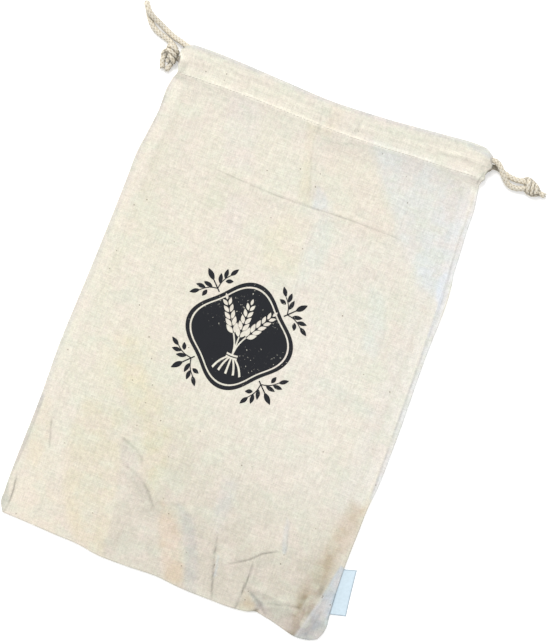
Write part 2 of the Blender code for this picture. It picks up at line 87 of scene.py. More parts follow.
def makeLights():
    world = bpy.data.worlds.new("studio")
    world.use_nodes = True
    sky = world.node_tree.nodes["Background"]
    sky.inputs["Color"].default_value = (*light["skyColour"], 1)
    sky.inputs["Strength"].default_value = light["sky"]
    bpy.context.scene.world = world
    data = bpy.data.lights.new("key", "AREA")
    data.energy = light["key"]
    data.color = light["keyColour"]
    data.size = light["keySize"]
    lamp = bpy.data.objects.new("key", data)
    lamp.location = inMetres(light["keyFrom"])
    aim = inMetres((*shot["middle"], 0)) - np.array(lamp.location)
    lamp.rotation_euler = Vector(aim).to_track_quat("-Z", "Y").to_euler()
    bpy.context.scene.collection.objects.link(lamp)


bpy.context.scene.view_settings.view_transform = "Standard"
makeCamera()
makeLights()
print("camera and lights are up")


# A smooth curve through a table of (place, value...) rows, read at any places:
# a cubic on each step, with the slope at a row that of its neighbours
def curveAt(table, where):
    rows = np.asarray(table, float)
    place, value = rows[:, 0], rows[:, 1:]
    slope = np.gradient(value, place, axis=0)
    where = np.clip(np.asarray(where, float), place[0], place[-1])
    i = np.clip(np.searchsorted(place, where, side="right") - 1, 0, len(place) - 2)
    step = (place[i + 1] - place[i])[..., None]
    s = ((where - place[i]) / step[..., 0])[..., None]
    out = ((2 * s**3 - 3 * s**2 + 1) * value[i] + (s**3 - 2 * s**2 + s) * step * slope[i]
           + (3 * s**2 - 2 * s**3) * value[i + 1] + (s**3 - s**2) * step * slope[i + 1])
    return out[..., 0] if out.shape[-1] == 1 else out


# 0 below 0, 1 above 1, and the cubic 3t² - 2t³ between
def ease(value):
    value = np.clip(value, 0, 1)
    return value * value * (3 - 2 * value)


# The higher of two heights with the crossing rounded: half of a + b + root((a - b)² + soft²)
def higher(a, b, soft):
    return 0.5 * (a + b + np.sqrt((a - b) ** 2 + soft**2))


def unit(vectors):
    return vectors / np.maximum(np.linalg.norm(vectors, axis=-1, keepdims=True), 1e-12)


# How far along a line each of its points is, each step raised to a power
def runAlong(line, power=1.0):
    return np.concatenate([[0], np.cumsum(np.linalg.norm(np.diff(line, axis=0), axis=1) ** power)])


# Evenly spaced points on the smooth curve through a route's points
def smoothLine(route, spacing, fineSteps=4000):
    route = np.asarray(route, float)
    along = runAlong(route, 0.5)
    fine = curveAt(np.column_stack([along, route]), np.linspace(0, along[-1], fineSteps))
    run = runAlong(fine)
    even = np.linspace(0, run[-1], int(run[-1] / spacing) + 1)
    return np.column_stack([np.interp(even, run, fine[:, k]) for k in range(3)])


unfollowed = (0.31, 0.17, 1.0)     # a direction that no cord or yarn takes


# Two directions square to a line that turn with it and don't spin about it: a first guess
# at each point, turned back by the sum of the twists from the start
def steadySides(line):
    ahead = unit(np.gradient(line, axis=0))
    side = unit(np.cross(ahead, unfollowed))
    before, after = ahead[:-1], ahead[1:]
    lean = (side[:-1] * after).sum(1) / (1 + (before * after).sum(1))
    carried = side[:-1] - lean[:, None] * (before + after)
    twist = np.arctan2((np.cross(carried, side[1:]) * after).sum(1), (carried * side[1:]).sum(1))
    turned = np.concatenate([[0], np.cumsum(twist)])[:, None]
    across = side * np.cos(turned) - np.cross(ahead, side) * np.sin(turned)
    return across, np.cross(ahead, across)


# Faces of a grid of vertex numbers, and of one whose columns close into a ring
def gridFaces(index, ring=False):
    if ring:
        index = np.concatenate([index, index[:, :1]], axis=1)
    corners = (index[:-1, :-1], index[:-1, 1:], index[1:, 1:], index[1:, :-1])
    return np.stack(corners, axis=-1).reshape(-1, 4).tolist()


# Faces between a fine chain of vertices and one that has a vertex for each few of its own:
# half of the fine ones lean on each end of the coarse step
def chainFaces(fine, coarse):
    ratio = (len(fine) - 1) // (len(coarse) - 1)
    steps = np.arange(len(fine) - 1)
    lean = steps // ratio + (steps % ratio >= ratio / 2)
    fan = np.column_stack([fine[:-1], fine[1:], coarse[lean]])
    middles = fine[ratio // 2:: ratio][:len(coarse) - 1]
    return fan.tolist() + np.column_stack([middles, coarse[1:], coarse[:-1]]).tolist()


# A mesh object from points and faces in the bag's layout, facing outwards, riding the bag
def newPiece(name, points, faces, material, uv=None):
    mesh = bpy.data.meshes.new(name)
    mesh.from_pydata(inMetres(points).tolist(), [], faces)
    if uv is not None:
        layer = mesh.uv_layers.new(name="wound")
        layer.data.foreach_set("uv", np.ascontiguousarray(uv, np.float32).ravel())
    build = bmesh.new()
    build.from_mesh(mesh)
    bmesh.ops.recalc_face_normals(build, faces=build.faces)
    build.to_mesh(mesh)
    build.free()
    mesh.shade_smooth()
    mesh.materials.append(material)
    piece = bpy.data.objects.new(name, mesh)
    bpy.context.scene.collection.objects.link(piece)
    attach(piece, "root")
    return piece


# Several (points, faces) shapes as one
def joined(shapes):
    starts = np.cumsum([0] + [len(points) for points, _ in shapes])
    faces = [[corner + start for corner in face] for (_, own), start in zip(shapes, starts) for face in own]
    return np.concatenate([points for points, _ in shapes]), faces


# Nodes are added through this small hand: a node of a kind, its settings, then its inputs
def addNode(tree, kind, inputs=(), **settings):
    node = tree.nodes.new(kind)
    for key, value in settings.items():
        setattr(node, key, value)
    for key, value in (inputs.items() if isinstance(inputs, dict) else enumerate(inputs)):
        if isinstance(value, bpy.types.NodeSocket):
            tree.links.new(value, node.inputs[key])
        else:
            node.inputs[key].default_value = value
    return node


def sums(tree, operation, *inputs):
    return addNode(tree, "ShaderNodeMath", inputs, operation=operation).outputs[0]


def times(tree, *inputs):
    return sums(tree, "MULTIPLY", *inputs)


# A wave along one coordinate, -1 to 1, that repeats at a pitch
def wave(tree, place, pitch):
    return sums(tree, "SINE", times(tree, place, 2 * np.pi / pitch))


def attribute(tree, name, output="Fac"):
    return addNode(tree, "ShaderNodeAttribute", attribute_name=name).outputs[output]


# The value's place between low and high, as 0 to 1 or between two given ends
def between(tree, value, low, high, start=0.0, end=1.0):
    limits = {"Value": value, "From Min": low, "From Max": high, "To Min": start, "To Max": end}
    return addNode(tree, "ShaderNodeMapRange", limits).outputs["Result"]


def mixColour(tree, share, first, second, blend="MIX"):
    inputs = {0: share, 6: first, 7: second}    # those between them mix plain values
    return addNode(tree, "ShaderNodeMix", inputs, data_type="RGBA", blend_type=blend).outputs[2]


# A colour made darker or lighter by a value around 1
def toned(tree, colour, value):
    greys = addNode(tree, "ShaderNodeCombineXYZ", (value, value, value)).outputs[0]
    return mixColour(tree, 1.0, colour, greys, "MULTIPLY")


def noise(tree, where, scale, detail=2.0, stretch=None, output="Fac"):
    if stretch:
        where = addNode(tree, "ShaderNodeMapping", {"Vector": where, "Scale": stretch}).outputs[0]
    inputs = {"Vector": where, "Scale": scale, "Detail": detail}
    return addNode(tree, "ShaderNodeTexNoise", inputs).outputs[output]


# A new material, its node tree and its shader, whose steady values go on its own sockets
def newMaterial(name, values):
    material = bpy.data.materials.new(name)
    material.use_nodes = True
    shader = material.node_tree.nodes["Principled BSDF"]
    for socket, value in values.items():
        shader.inputs[socket].default_value = value
    return material, material.node_tree, shader


# The colour and the relief, which is so many millimetres deep, go to the shader
def finishMaterial(tree, shader, colour, height, depth):
    bump = addNode(tree, "ShaderNodeBump", {"Height": height, "Strength": 1.0, "Distance": depth * 0.001})
    tree.links.new(colour, shader.inputs["Base Color"])
    tree.links.new(bump.outputs[0], shader.inputs["Normal"])


def inMillimetres(tree):
    where = addNode(tree, "ShaderNodeTexCoord").outputs["Object"]
    return addNode(tree, "ShaderNodeMapping", {"Vector": where, "Scale": (1000, 1000, 1000)}).outputs[0]


weave = dict(
    pitch=0.62, slub=0.55, depth=0.06,
    wander=0.5, wanderScale=0.09,       # how far the yarns drift, and noise turns per mm
    yarnNoise=(0.10, 1.3, 0.3),         # noise turns per mm along a yarn, across it and through the cloth
    streaks=(0.7, 1.3),                 # the sums of both yarns' noise that show as 0 and as 1
)


# Plain weave as sin(x) times sin(y), with yarns that wander and thicken; gives its
# relief and its yarn-by-yarn streaks, each 0 to 1
def plainWeave(tree, where):
    drift = noise(tree, where, weave["wanderScale"], 1.0, output="Color")
    pulled = addNode(tree, "ShaderNodeVectorMath", (drift, (weave["wander"],) * 3, where),
                     operation="MULTIPLY_ADD").outputs[0]
    axes = addNode(tree, "ShaderNodeSeparateXYZ", (pulled,))
    crossing = times(tree, *(wave(tree, axes.outputs[k], weave["pitch"]) for k in (0, 1)))
    along, across, through = weave["yarnNoise"]
    warp = noise(tree, pulled, 1.0, stretch=(across, along, through))
    weft = noise(tree, pulled, 1.0, stretch=(along, across, through))
    streaks = between(tree, sums(tree, "ADD", warp, weft), *weave["streaks"])
    return between(tree, crossing, -1, 1), streaks


linen = dict(
    pink=dyeAndShade(242, 229, 219), green=dyeAndShade(229, 233, 216), fleck=dyeAndShade(120, 104, 84),
    pinkMix=0.38, greenMix=0.4,
    pinkNoise=(0.055, 0.44, 0.62), greenNoise=(0.045, 0.5, 0.66),       # turns per mm, and the noise's ends
    greenStretch=(1, 1.3, 7),
    flecks=0.04,             # share of the 9 mm cells that hold a dark fleck
    fleckCells=0.11, fleckEdge=(0.085, 0.03),
    clouds=((0.9, 0.3, 0.7, 0.13), (0.3, 0.32, 0.68, 0.11)),    # noise scale, its ends, how strong
    yarn=0.18, crossing=0.075, hue=0.025, hueNoise=(0.5, 3.0),
)


# Linen: the cloth's tint with the light and shade painted into it, pink and green clouds, light
# and dark from its clouds, yarns and crossings, faint hues, and a few dark flecks
def makeLinen():
    material, tree, shader = newMaterial("slubbyLinen", {"Roughness": 0.9, "Specular IOR Level": 0.15})
    where = inMillimetres(tree)
    crossing, streaks = plainWeave(tree, where)
    scale, low, high = linen["pinkNoise"]
    pink = between(tree, noise(tree, where, scale), low, high)
    colour = attribute(tree, "clothTintAndShading", "Color")
    colour = mixColour(tree, times(tree, pink, linen["pinkMix"]), colour, linen["pink"])
    scale, low, high = linen["greenNoise"]
    green = between(tree, noise(tree, where, scale, stretch=linen["greenStretch"]), low, high)
    colour = mixColour(tree, times(tree, green, linen["greenMix"]), colour, linen["green"])
    parts = [(noise(tree, where, scale), low, high, size) for scale, low, high, size in linen["clouds"]]
    parts += [(streaks, 0, 1, linen["yarn"]), (crossing, 0, 1, linen["crossing"])]
    shade = 1.0
    for value, low, high, size in parts:
        shade = times(tree, shade, between(tree, value, low, high, 1 - size / 2, 1 + size / 2))
    hues = noise(tree, where, *linen["hueNoise"], output="Color")
    colour = mixColour(tree, linen["hue"], toned(tree, colour, shade), hues, "LINEAR_LIGHT")
    cells = addNode(tree, "ShaderNodeTexVoronoi", {"Vector": where, "Scale": linen["fleckCells"]},
                    voronoi_dimensions="2D")
    draw = addNode(tree, "ShaderNodeSeparateXYZ", (cells.outputs["Color"],)).outputs[0]
    size = sums(tree, "SQRT", between(tree, draw, 1 - linen["flecks"], 1.0))
    spot = between(tree, cells.outputs["Distance"], *linen["fleckEdge"])
    colour = mixColour(tree, times(tree, spot, size), colour, linen["fleck"])
    height = sums(tree, "ADD", crossing, times(tree, streaks, weave["slub"] * 2))
    finishMaterial(tree, shader, colour, height, weave["depth"])
    return material


cotton = dict(
    # dark, gap and shade are painted shade: dark in the braid's valleys, gap as a near-black painted shadow
    # in its gaps and where strands touch, shade on the side away from the light
    light=dyeAndShade(255, 246, 226), grey=dyeAndShade(238, 234, 222), dark=dyeAndShade(170, 146, 110), gap=dyeAndShade(70, 58, 44),
    shade=dyeAndShade(150, 146, 132),
    greyMix=0.8, darkMix=0.85, shadeMix=0.75, gapMix=0.8, tuckedMix=0.52,    # how much of each is laid on
    mottle=(0.28, 3.0), mottled=(0.4, 0.62),            # the grey's noise and its ends
    low=(0.75, 0.15), lowest=(0.2, 0.0),                # heights on a strand where the painted shade of its valleys and the painted shadow in its gaps set in
    fibreNoise=(9.0, 0.7, 1),           # noise turns per cell across a strand's fibres and along them
    fibre=(0.3, 0.7), fibreTones=(0.88, 1.07), depth=0.12,
)


# Braided cotton. The cord's UV map counts cells of its braid along the two ways that the
# strands are wound; the fibres run along whichever strand is on top. Points low on their
# strand, on the shaded side, or tucked in against another strand, are painted darker as
# shade, down to a near-black painted shadow in the gaps.
def makeCotton():
    material, tree, shader = newMaterial("braidedCotton", {"Roughness": 0.92, "Specular IOR Level": 0.15})
    where = inMillimetres(tree)
    wound = addNode(tree, "ShaderNodeUVMap", uv_map="wound").outputs[0]
    high, shade, tucked = (attribute(tree, name) for name in ("yarnHeight", "shadedSide", "tuckedIn"))
    across, along, through = cotton["fibreNoise"]
    first = noise(tree, wound, 1.0, stretch=(across, along, through))
    second = noise(tree, wound, 1.0, stretch=(along, across, through))
    axes = addNode(tree, "ShaderNodeSeparateXYZ", (wound,))
    over = times(tree, *(wave(tree, axes.outputs[k], 2) for k in (0, 1)))
    fibre = addNode(tree, "ShaderNodeMix", (between(tree, over, -0.1, 0.1), first, second)).outputs[0]
    fibre = between(tree, fibre, *cotton["fibre"])
    mottle = between(tree, noise(tree, where, *cotton["mottle"]), *cotton["mottled"])
    colour = cotton["light"]
    for share, name in (
            (times(tree, mottle, cotton["greyMix"]), "grey"),
            (between(tree, high, *cotton["low"], 0.0, cotton["darkMix"]), "dark"),
            (times(tree, shade, cotton["shadeMix"]), "shade"),
            (between(tree, high, *cotton["lowest"], 0.0, cotton["gapMix"]), "gap"),
            (times(tree, tucked, cotton["tuckedMix"]), "gap")):
        colour = mixColour(tree, share, colour, cotton[name])
    colour = toned(tree, colour, between(tree, fibre, 0, 1, *cotton["fibreTones"]))
    finishMaterial(tree, shader, colour, fibre, cotton["depth"])
    return material


linenCloth = makeLinen()
braidedCotton = makeCotton()
print("linen and cotton are mixed")


# Both drawcords, which are alike
cord = dict(
    thick=5.0, spacing=0.8, sides=32,
    strands=4, cell=3.7, relief=0.22,   # strands each way, length of a cell, share of the radius
    sharp=0.8, level=0.72, over=0.34, crossing=0.25,    # its ridges: their shape, height and overlap
    middle=0.75,                        # the relief that lies at the cord's own radius
    shaded=(0.3, -0.55, -0.78), shadeStart=0.1,     # the way the side in shade faces, and where it starts
    tuckReach=1.5, tuckPower=1.5,       # how near one strand lays painted shade on another, and how fast that fades
    ownReach=9,                         # a strand doesn't tuck itself in nearer than this along it
    outside=140,                        # beyond this X on both sides the cords are out of the casings
    margin=2,                           # how much further in their lines are looked at
    lowest=0.05,                        # how near the table their points come
)

leftRoute = [
    (-151.8, 217.6, 5.6), (-154.9, 220.2, 4.2), (-158.6, 222.6, 3.0), (-164, 224.6, 2.55),
    (-170, 226.1, 2.55), (-175, 228, 2.55), (-179.2, 230.8, 2.55), (-182.5, 234.3, 2.55),
    (-185.6, 238.7, 2.6), (-188.4, 243.5, 2.65), (-190, 246.2, 3.4), (-190.7, 247.4, 5.85),
    (-190.2, 246.6, 8.2), (-188.4, 243.8, 9.15), (-185.4, 240.4, 8.6), (-182, 238.3, 7.3),
    (-178, 236.6, 5.4), (-173.5, 234.9, 3.7), (-168.5, 232.6, 2.75), (-162, 229.8, 2.6), (-156, 227.6, 3.1),
    (-150, 226, 5.0), (-144.5, 224.2, 6.8), (-134, 222.6, 7.42), (-90, 222.6, 7.42), (-40, 220.5, 7.42),
    (10, 219.7, 7.42), (60, 223.3, 7.42), (100, 227.3, 7.42), (134.3, 229, 7.4), (139.3, 228.1, 5.8),
    (141.8, 225, 4.25), (141.5, 221.5, 3.9), (138.6, 218.7, 3.9), (132, 217.4, 3.9), (100, 215.6, 3.9),
    (60, 211.6, 3.9), (10, 208, 3.9), (-40, 208.9, 3.9), (-90, 210.9, 3.9), (-134, 210.9, 3.9),
    (-142, 210.8, 3.9), (-147.3, 211, 4.4), (-150.8, 211.8, 5.0),
]
rightRoute = [
    (184.6, 214.2, 5.2), (180.5, 212.2, 4.3), (174.5, 210.4, 3.1), (169, 210.9, 3.8), (163.6, 213.9, 6.4),
    (159.2, 218.4, 8.3), (155.4, 222.4, 8.9), (151, 225.4, 9.2), (146, 225.5, 9.6), (139.5, 224.4, 10),
    (134, 224, 9.85), (100, 222, 9.75), (60, 218, 9.75), (10, 214.4, 9.75), (-40, 215.3, 9.75),
    (-90, 217.3, 9.75), (-134, 217.3, 9.7), (-139.6, 216.1, 9.5), (-142.6, 212.8, 9.4), (-142.8, 209, 9.3),
    (-141.4, 205.9, 8.2), (-138.4, 204.7, 5.9), (-133.4, 205.2, 4.1), (-128, 205.5, 3.9), (-90, 205.5, 3.9),
    (-40, 203.5, 3.9), (10, 202.6, 3.9), (60, 206.2, 3.9), (100, 210.2, 3.9), (134, 212, 3.9),
    (139.5, 212.7, 3.9), (144.8, 216.1, 4.0), (149.2, 220.8, 3.3), (154.5, 221.6, 2.6), (161, 219.6, 2.55),
    (167, 218.2, 2.6), (173, 217.8, 2.9), (180.9, 218.6, 4.5), (184.6, 218.2, 5.6),
]


# Relief of a braid from where a point is along the two ways its strands are wound, in
# cells: each strand is a round ridge, and they pass over each other turn by turn
def braidRelief(first, second):
    waves = np.sin(np.pi * first), np.sin(np.pi * second)
    over = waves[0] * waves[1]
    over = cord["over"] * (over / (abs(over) + cord["crossing"]))
    ridges = [abs(crest) ** cord["sharp"] for crest in waves]
    return np.maximum(ridges[0] * (cord["level"] + over), ridges[1] * (cord["level"] - over))


# A braided tube: rings square to a line, their radius that of the braid's relief, and a
# point at each end. Keeps how high each point is on its strand and how far into the shade.
def braidedTube(line, radius, sides=cord["sides"]):
    across, up = steadySides(line)
    run = runAlong(line)
    turn = np.arange(sides + 1) / sides
    along = run[:, None] / cord["cell"]
    wound = np.dstack([cord["strands"] * turn[None, :] + along, cord["strands"] * turn[None, :] - along])
    high = braidRelief(wound[:, :-1, 0], wound[:, :-1, 1])
    angle = 2 * np.pi * turn[:-1, None]
    reach = (radius * (1 + cord["relief"] * (high - cord["middle"])))[..., None]
    spokes = np.cos(angle) * across[:, None] + np.sin(angle) * up[:, None]
    rings = line[:, None] + reach * spokes
    shadeStart = cord["shadeStart"]
    shade = ease((spokes @ unit(np.array(cord["shaded"])) - shadeStart) / (1 - shadeStart))
    count = high.size
    index = np.arange(count).reshape(high.shape)
    faces = gridFaces(index, ring=True)
    corners = np.stack([wound[:-1, :-1], wound[:-1, 1:], wound[1:, 1:], wound[1:, :-1]], axis=2)
    uv = [corners.reshape(-1, 2)]
    for row, tip in ((0, count), (-1, count + 1)):
        faces += np.column_stack([index[row], np.roll(index[row], -1), np.full(sides, tip)]).tolist()
        middle = (wound[row, :-1] + wound[row, 1:]) / 2
        uv.append(np.stack([wound[row, :-1], wound[row, 1:], middle], axis=1).reshape(-1, 2))
    return dict(
        line=line, radius=radius, run=run, faces=faces, uv=np.concatenate(uv),
        points=np.concatenate([rings.reshape(-1, 3), line[[0, -1]]]),
        pointRun=np.concatenate([np.repeat(run, sides), run[[0, -1]]]),
        high=np.concatenate([high.ravel(), [0.5, 0.5]]), shade=np.concatenate([shade.ravel(), [0, 0]]))


# How far a tube's points are tucked in against the strands beside it, its own further along
# too: 1 at their surface, easing to nothing over a reach from it. The cotton paints it as shade.
def tuckedIn(tube, strands):
    seen = np.flatnonzero(abs(tube["points"][:, 0]) > cord["outside"])
    tucked = np.zeros(len(tube["points"]))
    for other in strands:
        near = abs(other["line"][:, 0]) > cord["outside"] - cord["margin"]
        away = np.linalg.norm(tube["points"][seen, None] - other["line"][None, near], axis=2)
        if other is tube:
            own = abs(tube["pointRun"][seen, None] - tube["run"][None, near]) < cord["ownReach"]
            away = np.where(own, np.inf, away)
        if near.any():
            touch = 1 - ease((away.min(axis=1) - other["radius"]) / cord["tuckReach"])
            tucked[seen] = np.maximum(tucked[seen], touch ** cord["tuckPower"])
    return tucked


def setAttribute(piece, name, values):
    kind, key = ("FLOAT", "value") if np.ndim(values) == 1 else ("FLOAT_COLOR", "color")
    layer = piece.data.attributes.new(name, kind, "POINT")
    layer.data.foreach_set(key, np.ascontiguousarray(values, np.float32).ravel())


knots = {
    "left_knot": dict(
        coil=dict(start=(-154.0, 218.8), end=(-154.7, 208.0), level=5.7, wide=(4.3, 4.7), high=3.3,
                  turns=2.6, first=-110, lean=2.0, bow=1.6),
        strands=[[(-161.6, 209.5, 3.0), (-161.0, 212.6, 5.0), (-158.3, 213.9, 6.9), (-155.7, 212.2, 7.9),
                  (-154.6, 208.3, 7.0), (-155.2, 205.0, 4.6)]],
        ends=[[(-158.3, 213.2, 4.0), (-160.2, 207.5, 3.4), (-159.4, 203, 2.8), (-158, 198.9, 2.5)],
              [(-151.6, 209.5, 4.2), (-151.9, 205, 3.6), (-152.8, 201, 2.9), (-153.8, 198.2, 2.5)]]),
    "right_knot": dict(
        coil=dict(start=(182.9, 216.9), end=(192.6, 214.5), level=5.7, wide=(4.3, 3.2), high=3.3,
                  turns=2.7, first=-120, lean=-1.6, bow=0.3),
        strands=[[(179.6, 218.6, 3.0), (180.9, 221.4, 3.4), (184, 222.0, 4.0), (188.6, 220.3, 4.2),
                  (193, 218, 3.9), (195.6, 215.2, 3.0)],
                 [(183.6, 212.4, 3.0), (187.2, 210.5, 3.2), (192, 210.6, 3.2), (196, 212.6, 3.0)]],
        ends=[[(190, 213.9, 4.4), (195, 213.9, 3.4), (201.6, 213.6, 2.7)]]),
}
tied = dict(spacing=0.7, coil=(2.25, 28), strands=(1.9, 24), ends=(2.4, 28))    # radius and sides of the cord
frays = dict(
    yarns=22, long=(0.8, 3.2), thick=0.26, thinning=0.45, steps=6, sides=5,
    sunk=1.2, foot=0.85, spread=0.5,    # how deep and how far out they start, and how far they spread
    curve=1.3, waves=(0.7, 1.8), waviness=0.5,
    yarnHeight=0.75, shadedSide=0.3,    # what the cotton's colour takes them to be, which paints a little shade on them
)


# A coil laid flat: turns round a line from start to end, wide at its first and last turn,
# leaning along the line to one side and bowed back over its top
def coiled(start, end, level, wide, high, turns, first, lean, bow, perTurn=50):
    angle = np.linspace(0, 2 * np.pi * turns, int(turns * perTurn)) + np.radians(first)
    t = np.linspace(0, 1, len(angle))[:, None]
    start, end = np.array((*start, level), float), np.array((*end, level), float)
    ahead = unit(end - start)
    side = np.array([-ahead[1], ahead[0], 0])
    c, s = np.cos(angle)[:, None], np.sin(angle)[:, None]
    out = side * c * (wide[0] + (wide[1] - wide[0]) * t) + (0, 0, high) * s + ahead * (lean * c - bow * s)
    return start + (end - start) * t + out


# Loose yarns at a cut end: each starts on the end's disc and leaves it along the cord,
# leaning out by its own place on the disc, with a slight wave
def frayedEnd(line, radius, chance):
    tip, ahead = line[-1], unit(line[-1] - line[-2])
    across, up = (side[-1] for side in steadySides(line))
    count, steps, sides = frays["yarns"], frays["steps"], frays["sides"]
    angle, out = chance.uniform(0, 2 * np.pi, count), np.sqrt(chance.uniform(0, 1, count))
    spoke = np.cos(angle)[:, None] * across + np.sin(angle)[:, None] * up
    t = np.linspace(0, 1, steps)[None, :, None]
    long = chance.uniform(*frays["long"], count)[:, None, None]
    sway = chance.normal(0, frays["waviness"], (count, 1, 3))
    sway = sway * np.sin(t * np.pi * chance.uniform(*frays["waves"], (count, 1, 1)))
    lean = out[:, None, None] * radius * (frays["foot"] + frays["spread"] * t ** frays["curve"])
    path = tip - ahead * frays["sunk"] + spoke[:, None] * lean + ahead * t * long + sway * t
    path[..., 2] = np.maximum(path[..., 2], frays["thick"])
    turn = np.linspace(0, 2 * np.pi, sides, endpoint=False)
    ring = np.cos(turn)[:, None] * across + np.sin(turn)[:, None] * up
    rings = path[:, :, None] + ring * (frays["thick"] * (1 - frays["thinning"] * t))[..., None]
    index = np.arange(steps * sides).reshape(steps, sides)
    yarn = gridFaces(index, ring=True) + [index[0].tolist(), index[-1].tolist()]
    return joined([(points.reshape(-1, 3), yarn) for points in rings])


# A piece of cotton cord from its tubes and the loose yarns at their ends
def makeStrands(name, node, tubes, loose):
    points, faces = joined([(tube["points"], tube["faces"]) for tube in tubes] + loose)
    points[:, 2] = np.maximum(points[:, 2], cord["lowest"])
    yarnPoints = sum(len(yarns[0]) for yarns in loose)
    yarnCorners = sum(len(face) for yarns in loose for face in yarns[1])
    uv = np.concatenate([tube["uv"] for tube in tubes] + [np.zeros((yarnCorners, 2))])
    piece = newPiece(name, points, faces, braidedCotton, uv=uv)
    for layer, key in (("yarnHeight", "high"), ("shadedSide", "shade"), ("tuckedIn", "tucked")):
        values = [tube[key] for tube in tubes] + [np.full(yarnPoints, frays.get(layer, 0.0))]
        setAttribute(piece, layer, np.concatenate(values))
    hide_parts(node)
    return piece


def tubeAlong(route, radius, sides=cord["sides"], spacing=cord["spacing"]):
    return braidedTube(smoothLine(route, spacing), radius, sides)


laid = {"left_cord": [tubeAlong(leftRoute, cord["thick"] / 2)],
        "right_cord": [tubeAlong(rightRoute, cord["thick"] / 2)]}
# a knot's strands: its coil, those laid over and beside it, and last its cut ends
for node, knot in knots.items():
    laid[node] = [braidedTube(coiled(**knot["coil"]), *tied["coil"])]
    for kind in ("strands", "ends"):
        laid[node] += [tubeAlong(route, *tied[kind], tied["spacing"]) for route in knot[kind]]
# Lines that paint shadow on the cords near them, where they go into the casing's mouths: as
# an X and the Y from and to at each side slit, with their heights, and the shadowed pocket in
# the right one, from end to end
mouths = dict(radius=1.6, slits=((-145.8, 206, 213), (147.4, 214, 221)), levels=(2, 5, 8),
              pocket=((148.5, 221.6, 6), (157.5, 219.0, 5)), steps=20)
dark = [((x, low, level), (x, high, level)) for x, low, high in mouths["slits"] for level in mouths["levels"]]
beside = [tube for tubes in laid.values() for tube in tubes]
beside += [dict(line=np.linspace(*ends, mouths["steps"]), radius=mouths["radius"])
           for ends in (*dark, mouths["pocket"])]
chance = np.random.default_rng(4)
for node, name in (("left_cord", "leftCord"), ("right_cord", "rightCord"),
                   ("left_knot", "leftKnot"), ("right_knot", "rightKnot")):
    for tube in laid[node]:
        tube["tucked"] = tuckedIn(tube, beside)
    cutEnds = laid[node][-len(knots[node]["ends"]):] if node in knots else []
    loose = [frayedEnd(tube["line"], tube["radius"], chance) for tube in cutEnds]
    makeStrands(name, node, laid[node], loose)
for side in ("left", "right"):
    path = inMetres(laid[f"{side}_cord"][0]["line"])
print("cords and knots are laid")


# The bag's cloth and how it lies
bag = dict(
    thick=1.0, clearance=0.46, edgeSpace=0.5,   # the cloth, its space to a cord, and between its two sides
    puff=1.7, puffReach=38,                     # the crown, and how far in from the seams it rises
    foldAtSeam=0.45, seamHold=14,               # a fold's share at the seams, and how far in it is whole
    rippleReach=25,
    foldDepth=2.6, backFoldDepth=1.5, backRise=1.2,     # the rolled top edges, and how much higher the back's
    roll=(0.4, 68, 9), backRoll=(0.1, 60, 5),   # how much flatter than deep, degrees each way, and rows
    frontHem=24.3, backHem=27.8, backHemTop=0.8,        # how far down the hems reach, and the back's starts
    hemNarrows=112.0, hemEnd=133.0,             # where the hems' ends are drawn in from, and to, in X
    seamTop=27.0,                               # the side slits
    sunkReach=26, sunkStart=1.5, sunkRun=12,    # the front's way down to the seams below them
    cordStep=1.5, backCordTop=4.3,              # a cord lower than this is in the back casing
    backHemLift=0.4, frontHemLift=0.6, hemDrape=1.1, frontDrape=2.1,    # how the cloth lies over the cords
    casingRun=30, casingFoot=2.0, ridgeSpace=0.3,       # the slope up to the casing, and over a cord's ridge
    roundEdge=0.35, roundHem=0.8, roundSlope=2.0, roundCord=0.7,    # how softly one height meets another
    bulge=0.45,                                 # how far the seams' edge stands out
    columns=256, rows=272, casingRows=16, backRows=(18, 9, 4.5), coarse=4, crowded=0.36,
    spacing=[(-232, 0.95), (-140, 0.95), (-118, 1.8), (-70, 2.6), (100, 2.5), (118, 1.2), (138, 1.2),
             (152, 2.6), (180, 2.2), (198, 1.3)],       # between rows, at each Y
)
# Edges: X at each Y for the sides, and Y at each X for the bottom, the top and the stitches
leftEdge = [
    (-223, -149.5), (-215, -154), (-205, -154.5), (-110, -154.5), (-70, -155.5), (10, -153.5), (98, -152),
    (120, -152), (130, -151), (140, -149.6), (150, -148.4), (160, -147.2), (188, -146.8), (195, -145.2),
    (200, -142.8), (205, -144.5), (210, -145.5), (222, -144.8), (226.5, -140.5),
]
rightEdge = [
    (-232, 149), (-230, 150.5), (-222, 156), (-217, 157), (-206, 156), (-160, 153.3), (-125, 153.5),
    (-100, 154), (-85, 155.5), (-50, 156), (38, 154), (110, 152.7), (120, 151), (135, 150), (165, 148),
    (180, 147.5), (195, 145), (203.5, 144), (208, 146.3), (212.5, 144.8), (216, 146.6), (219, 148.6),
    (222, 147.2), (226, 145.2), (230.5, 145.2), (233, 143),
]
bottomEdge = [
    (-155, -222.7), (-130, -223.3), (-100, -224.7), (-75, -225.7), (-60, -228.1), (-30, -228.4),
    (0, -227.4), (20, -229.3), (50, -229.9), (75, -229.4), (86, -227.8), (93, -225.2), (101, -226.4),
    (110, -228), (120, -230.5), (135, -233.5), (149, -231), (157, -226.5),
]
topEdge = [
    (-145, 226.3), (-120, 227.3), (-100, 227), (-50, 225), (0, 223.5), (20, 224.5), (50, 226.5),
    (80, 229.5), (100, 231.5), (120, 233.5), (130, 234), (140, 233), (145, 231),
]
stitchLine = [
    (-141, 199.3), (-120, 200), (-100, 200.6), (-75, 201.1), (-25, 200.2), (25, 200.2), (50, 201.5),
    (75, 203.3), (100, 204.6), (112, 205.1), (132, 206.5), (141, 207),
]

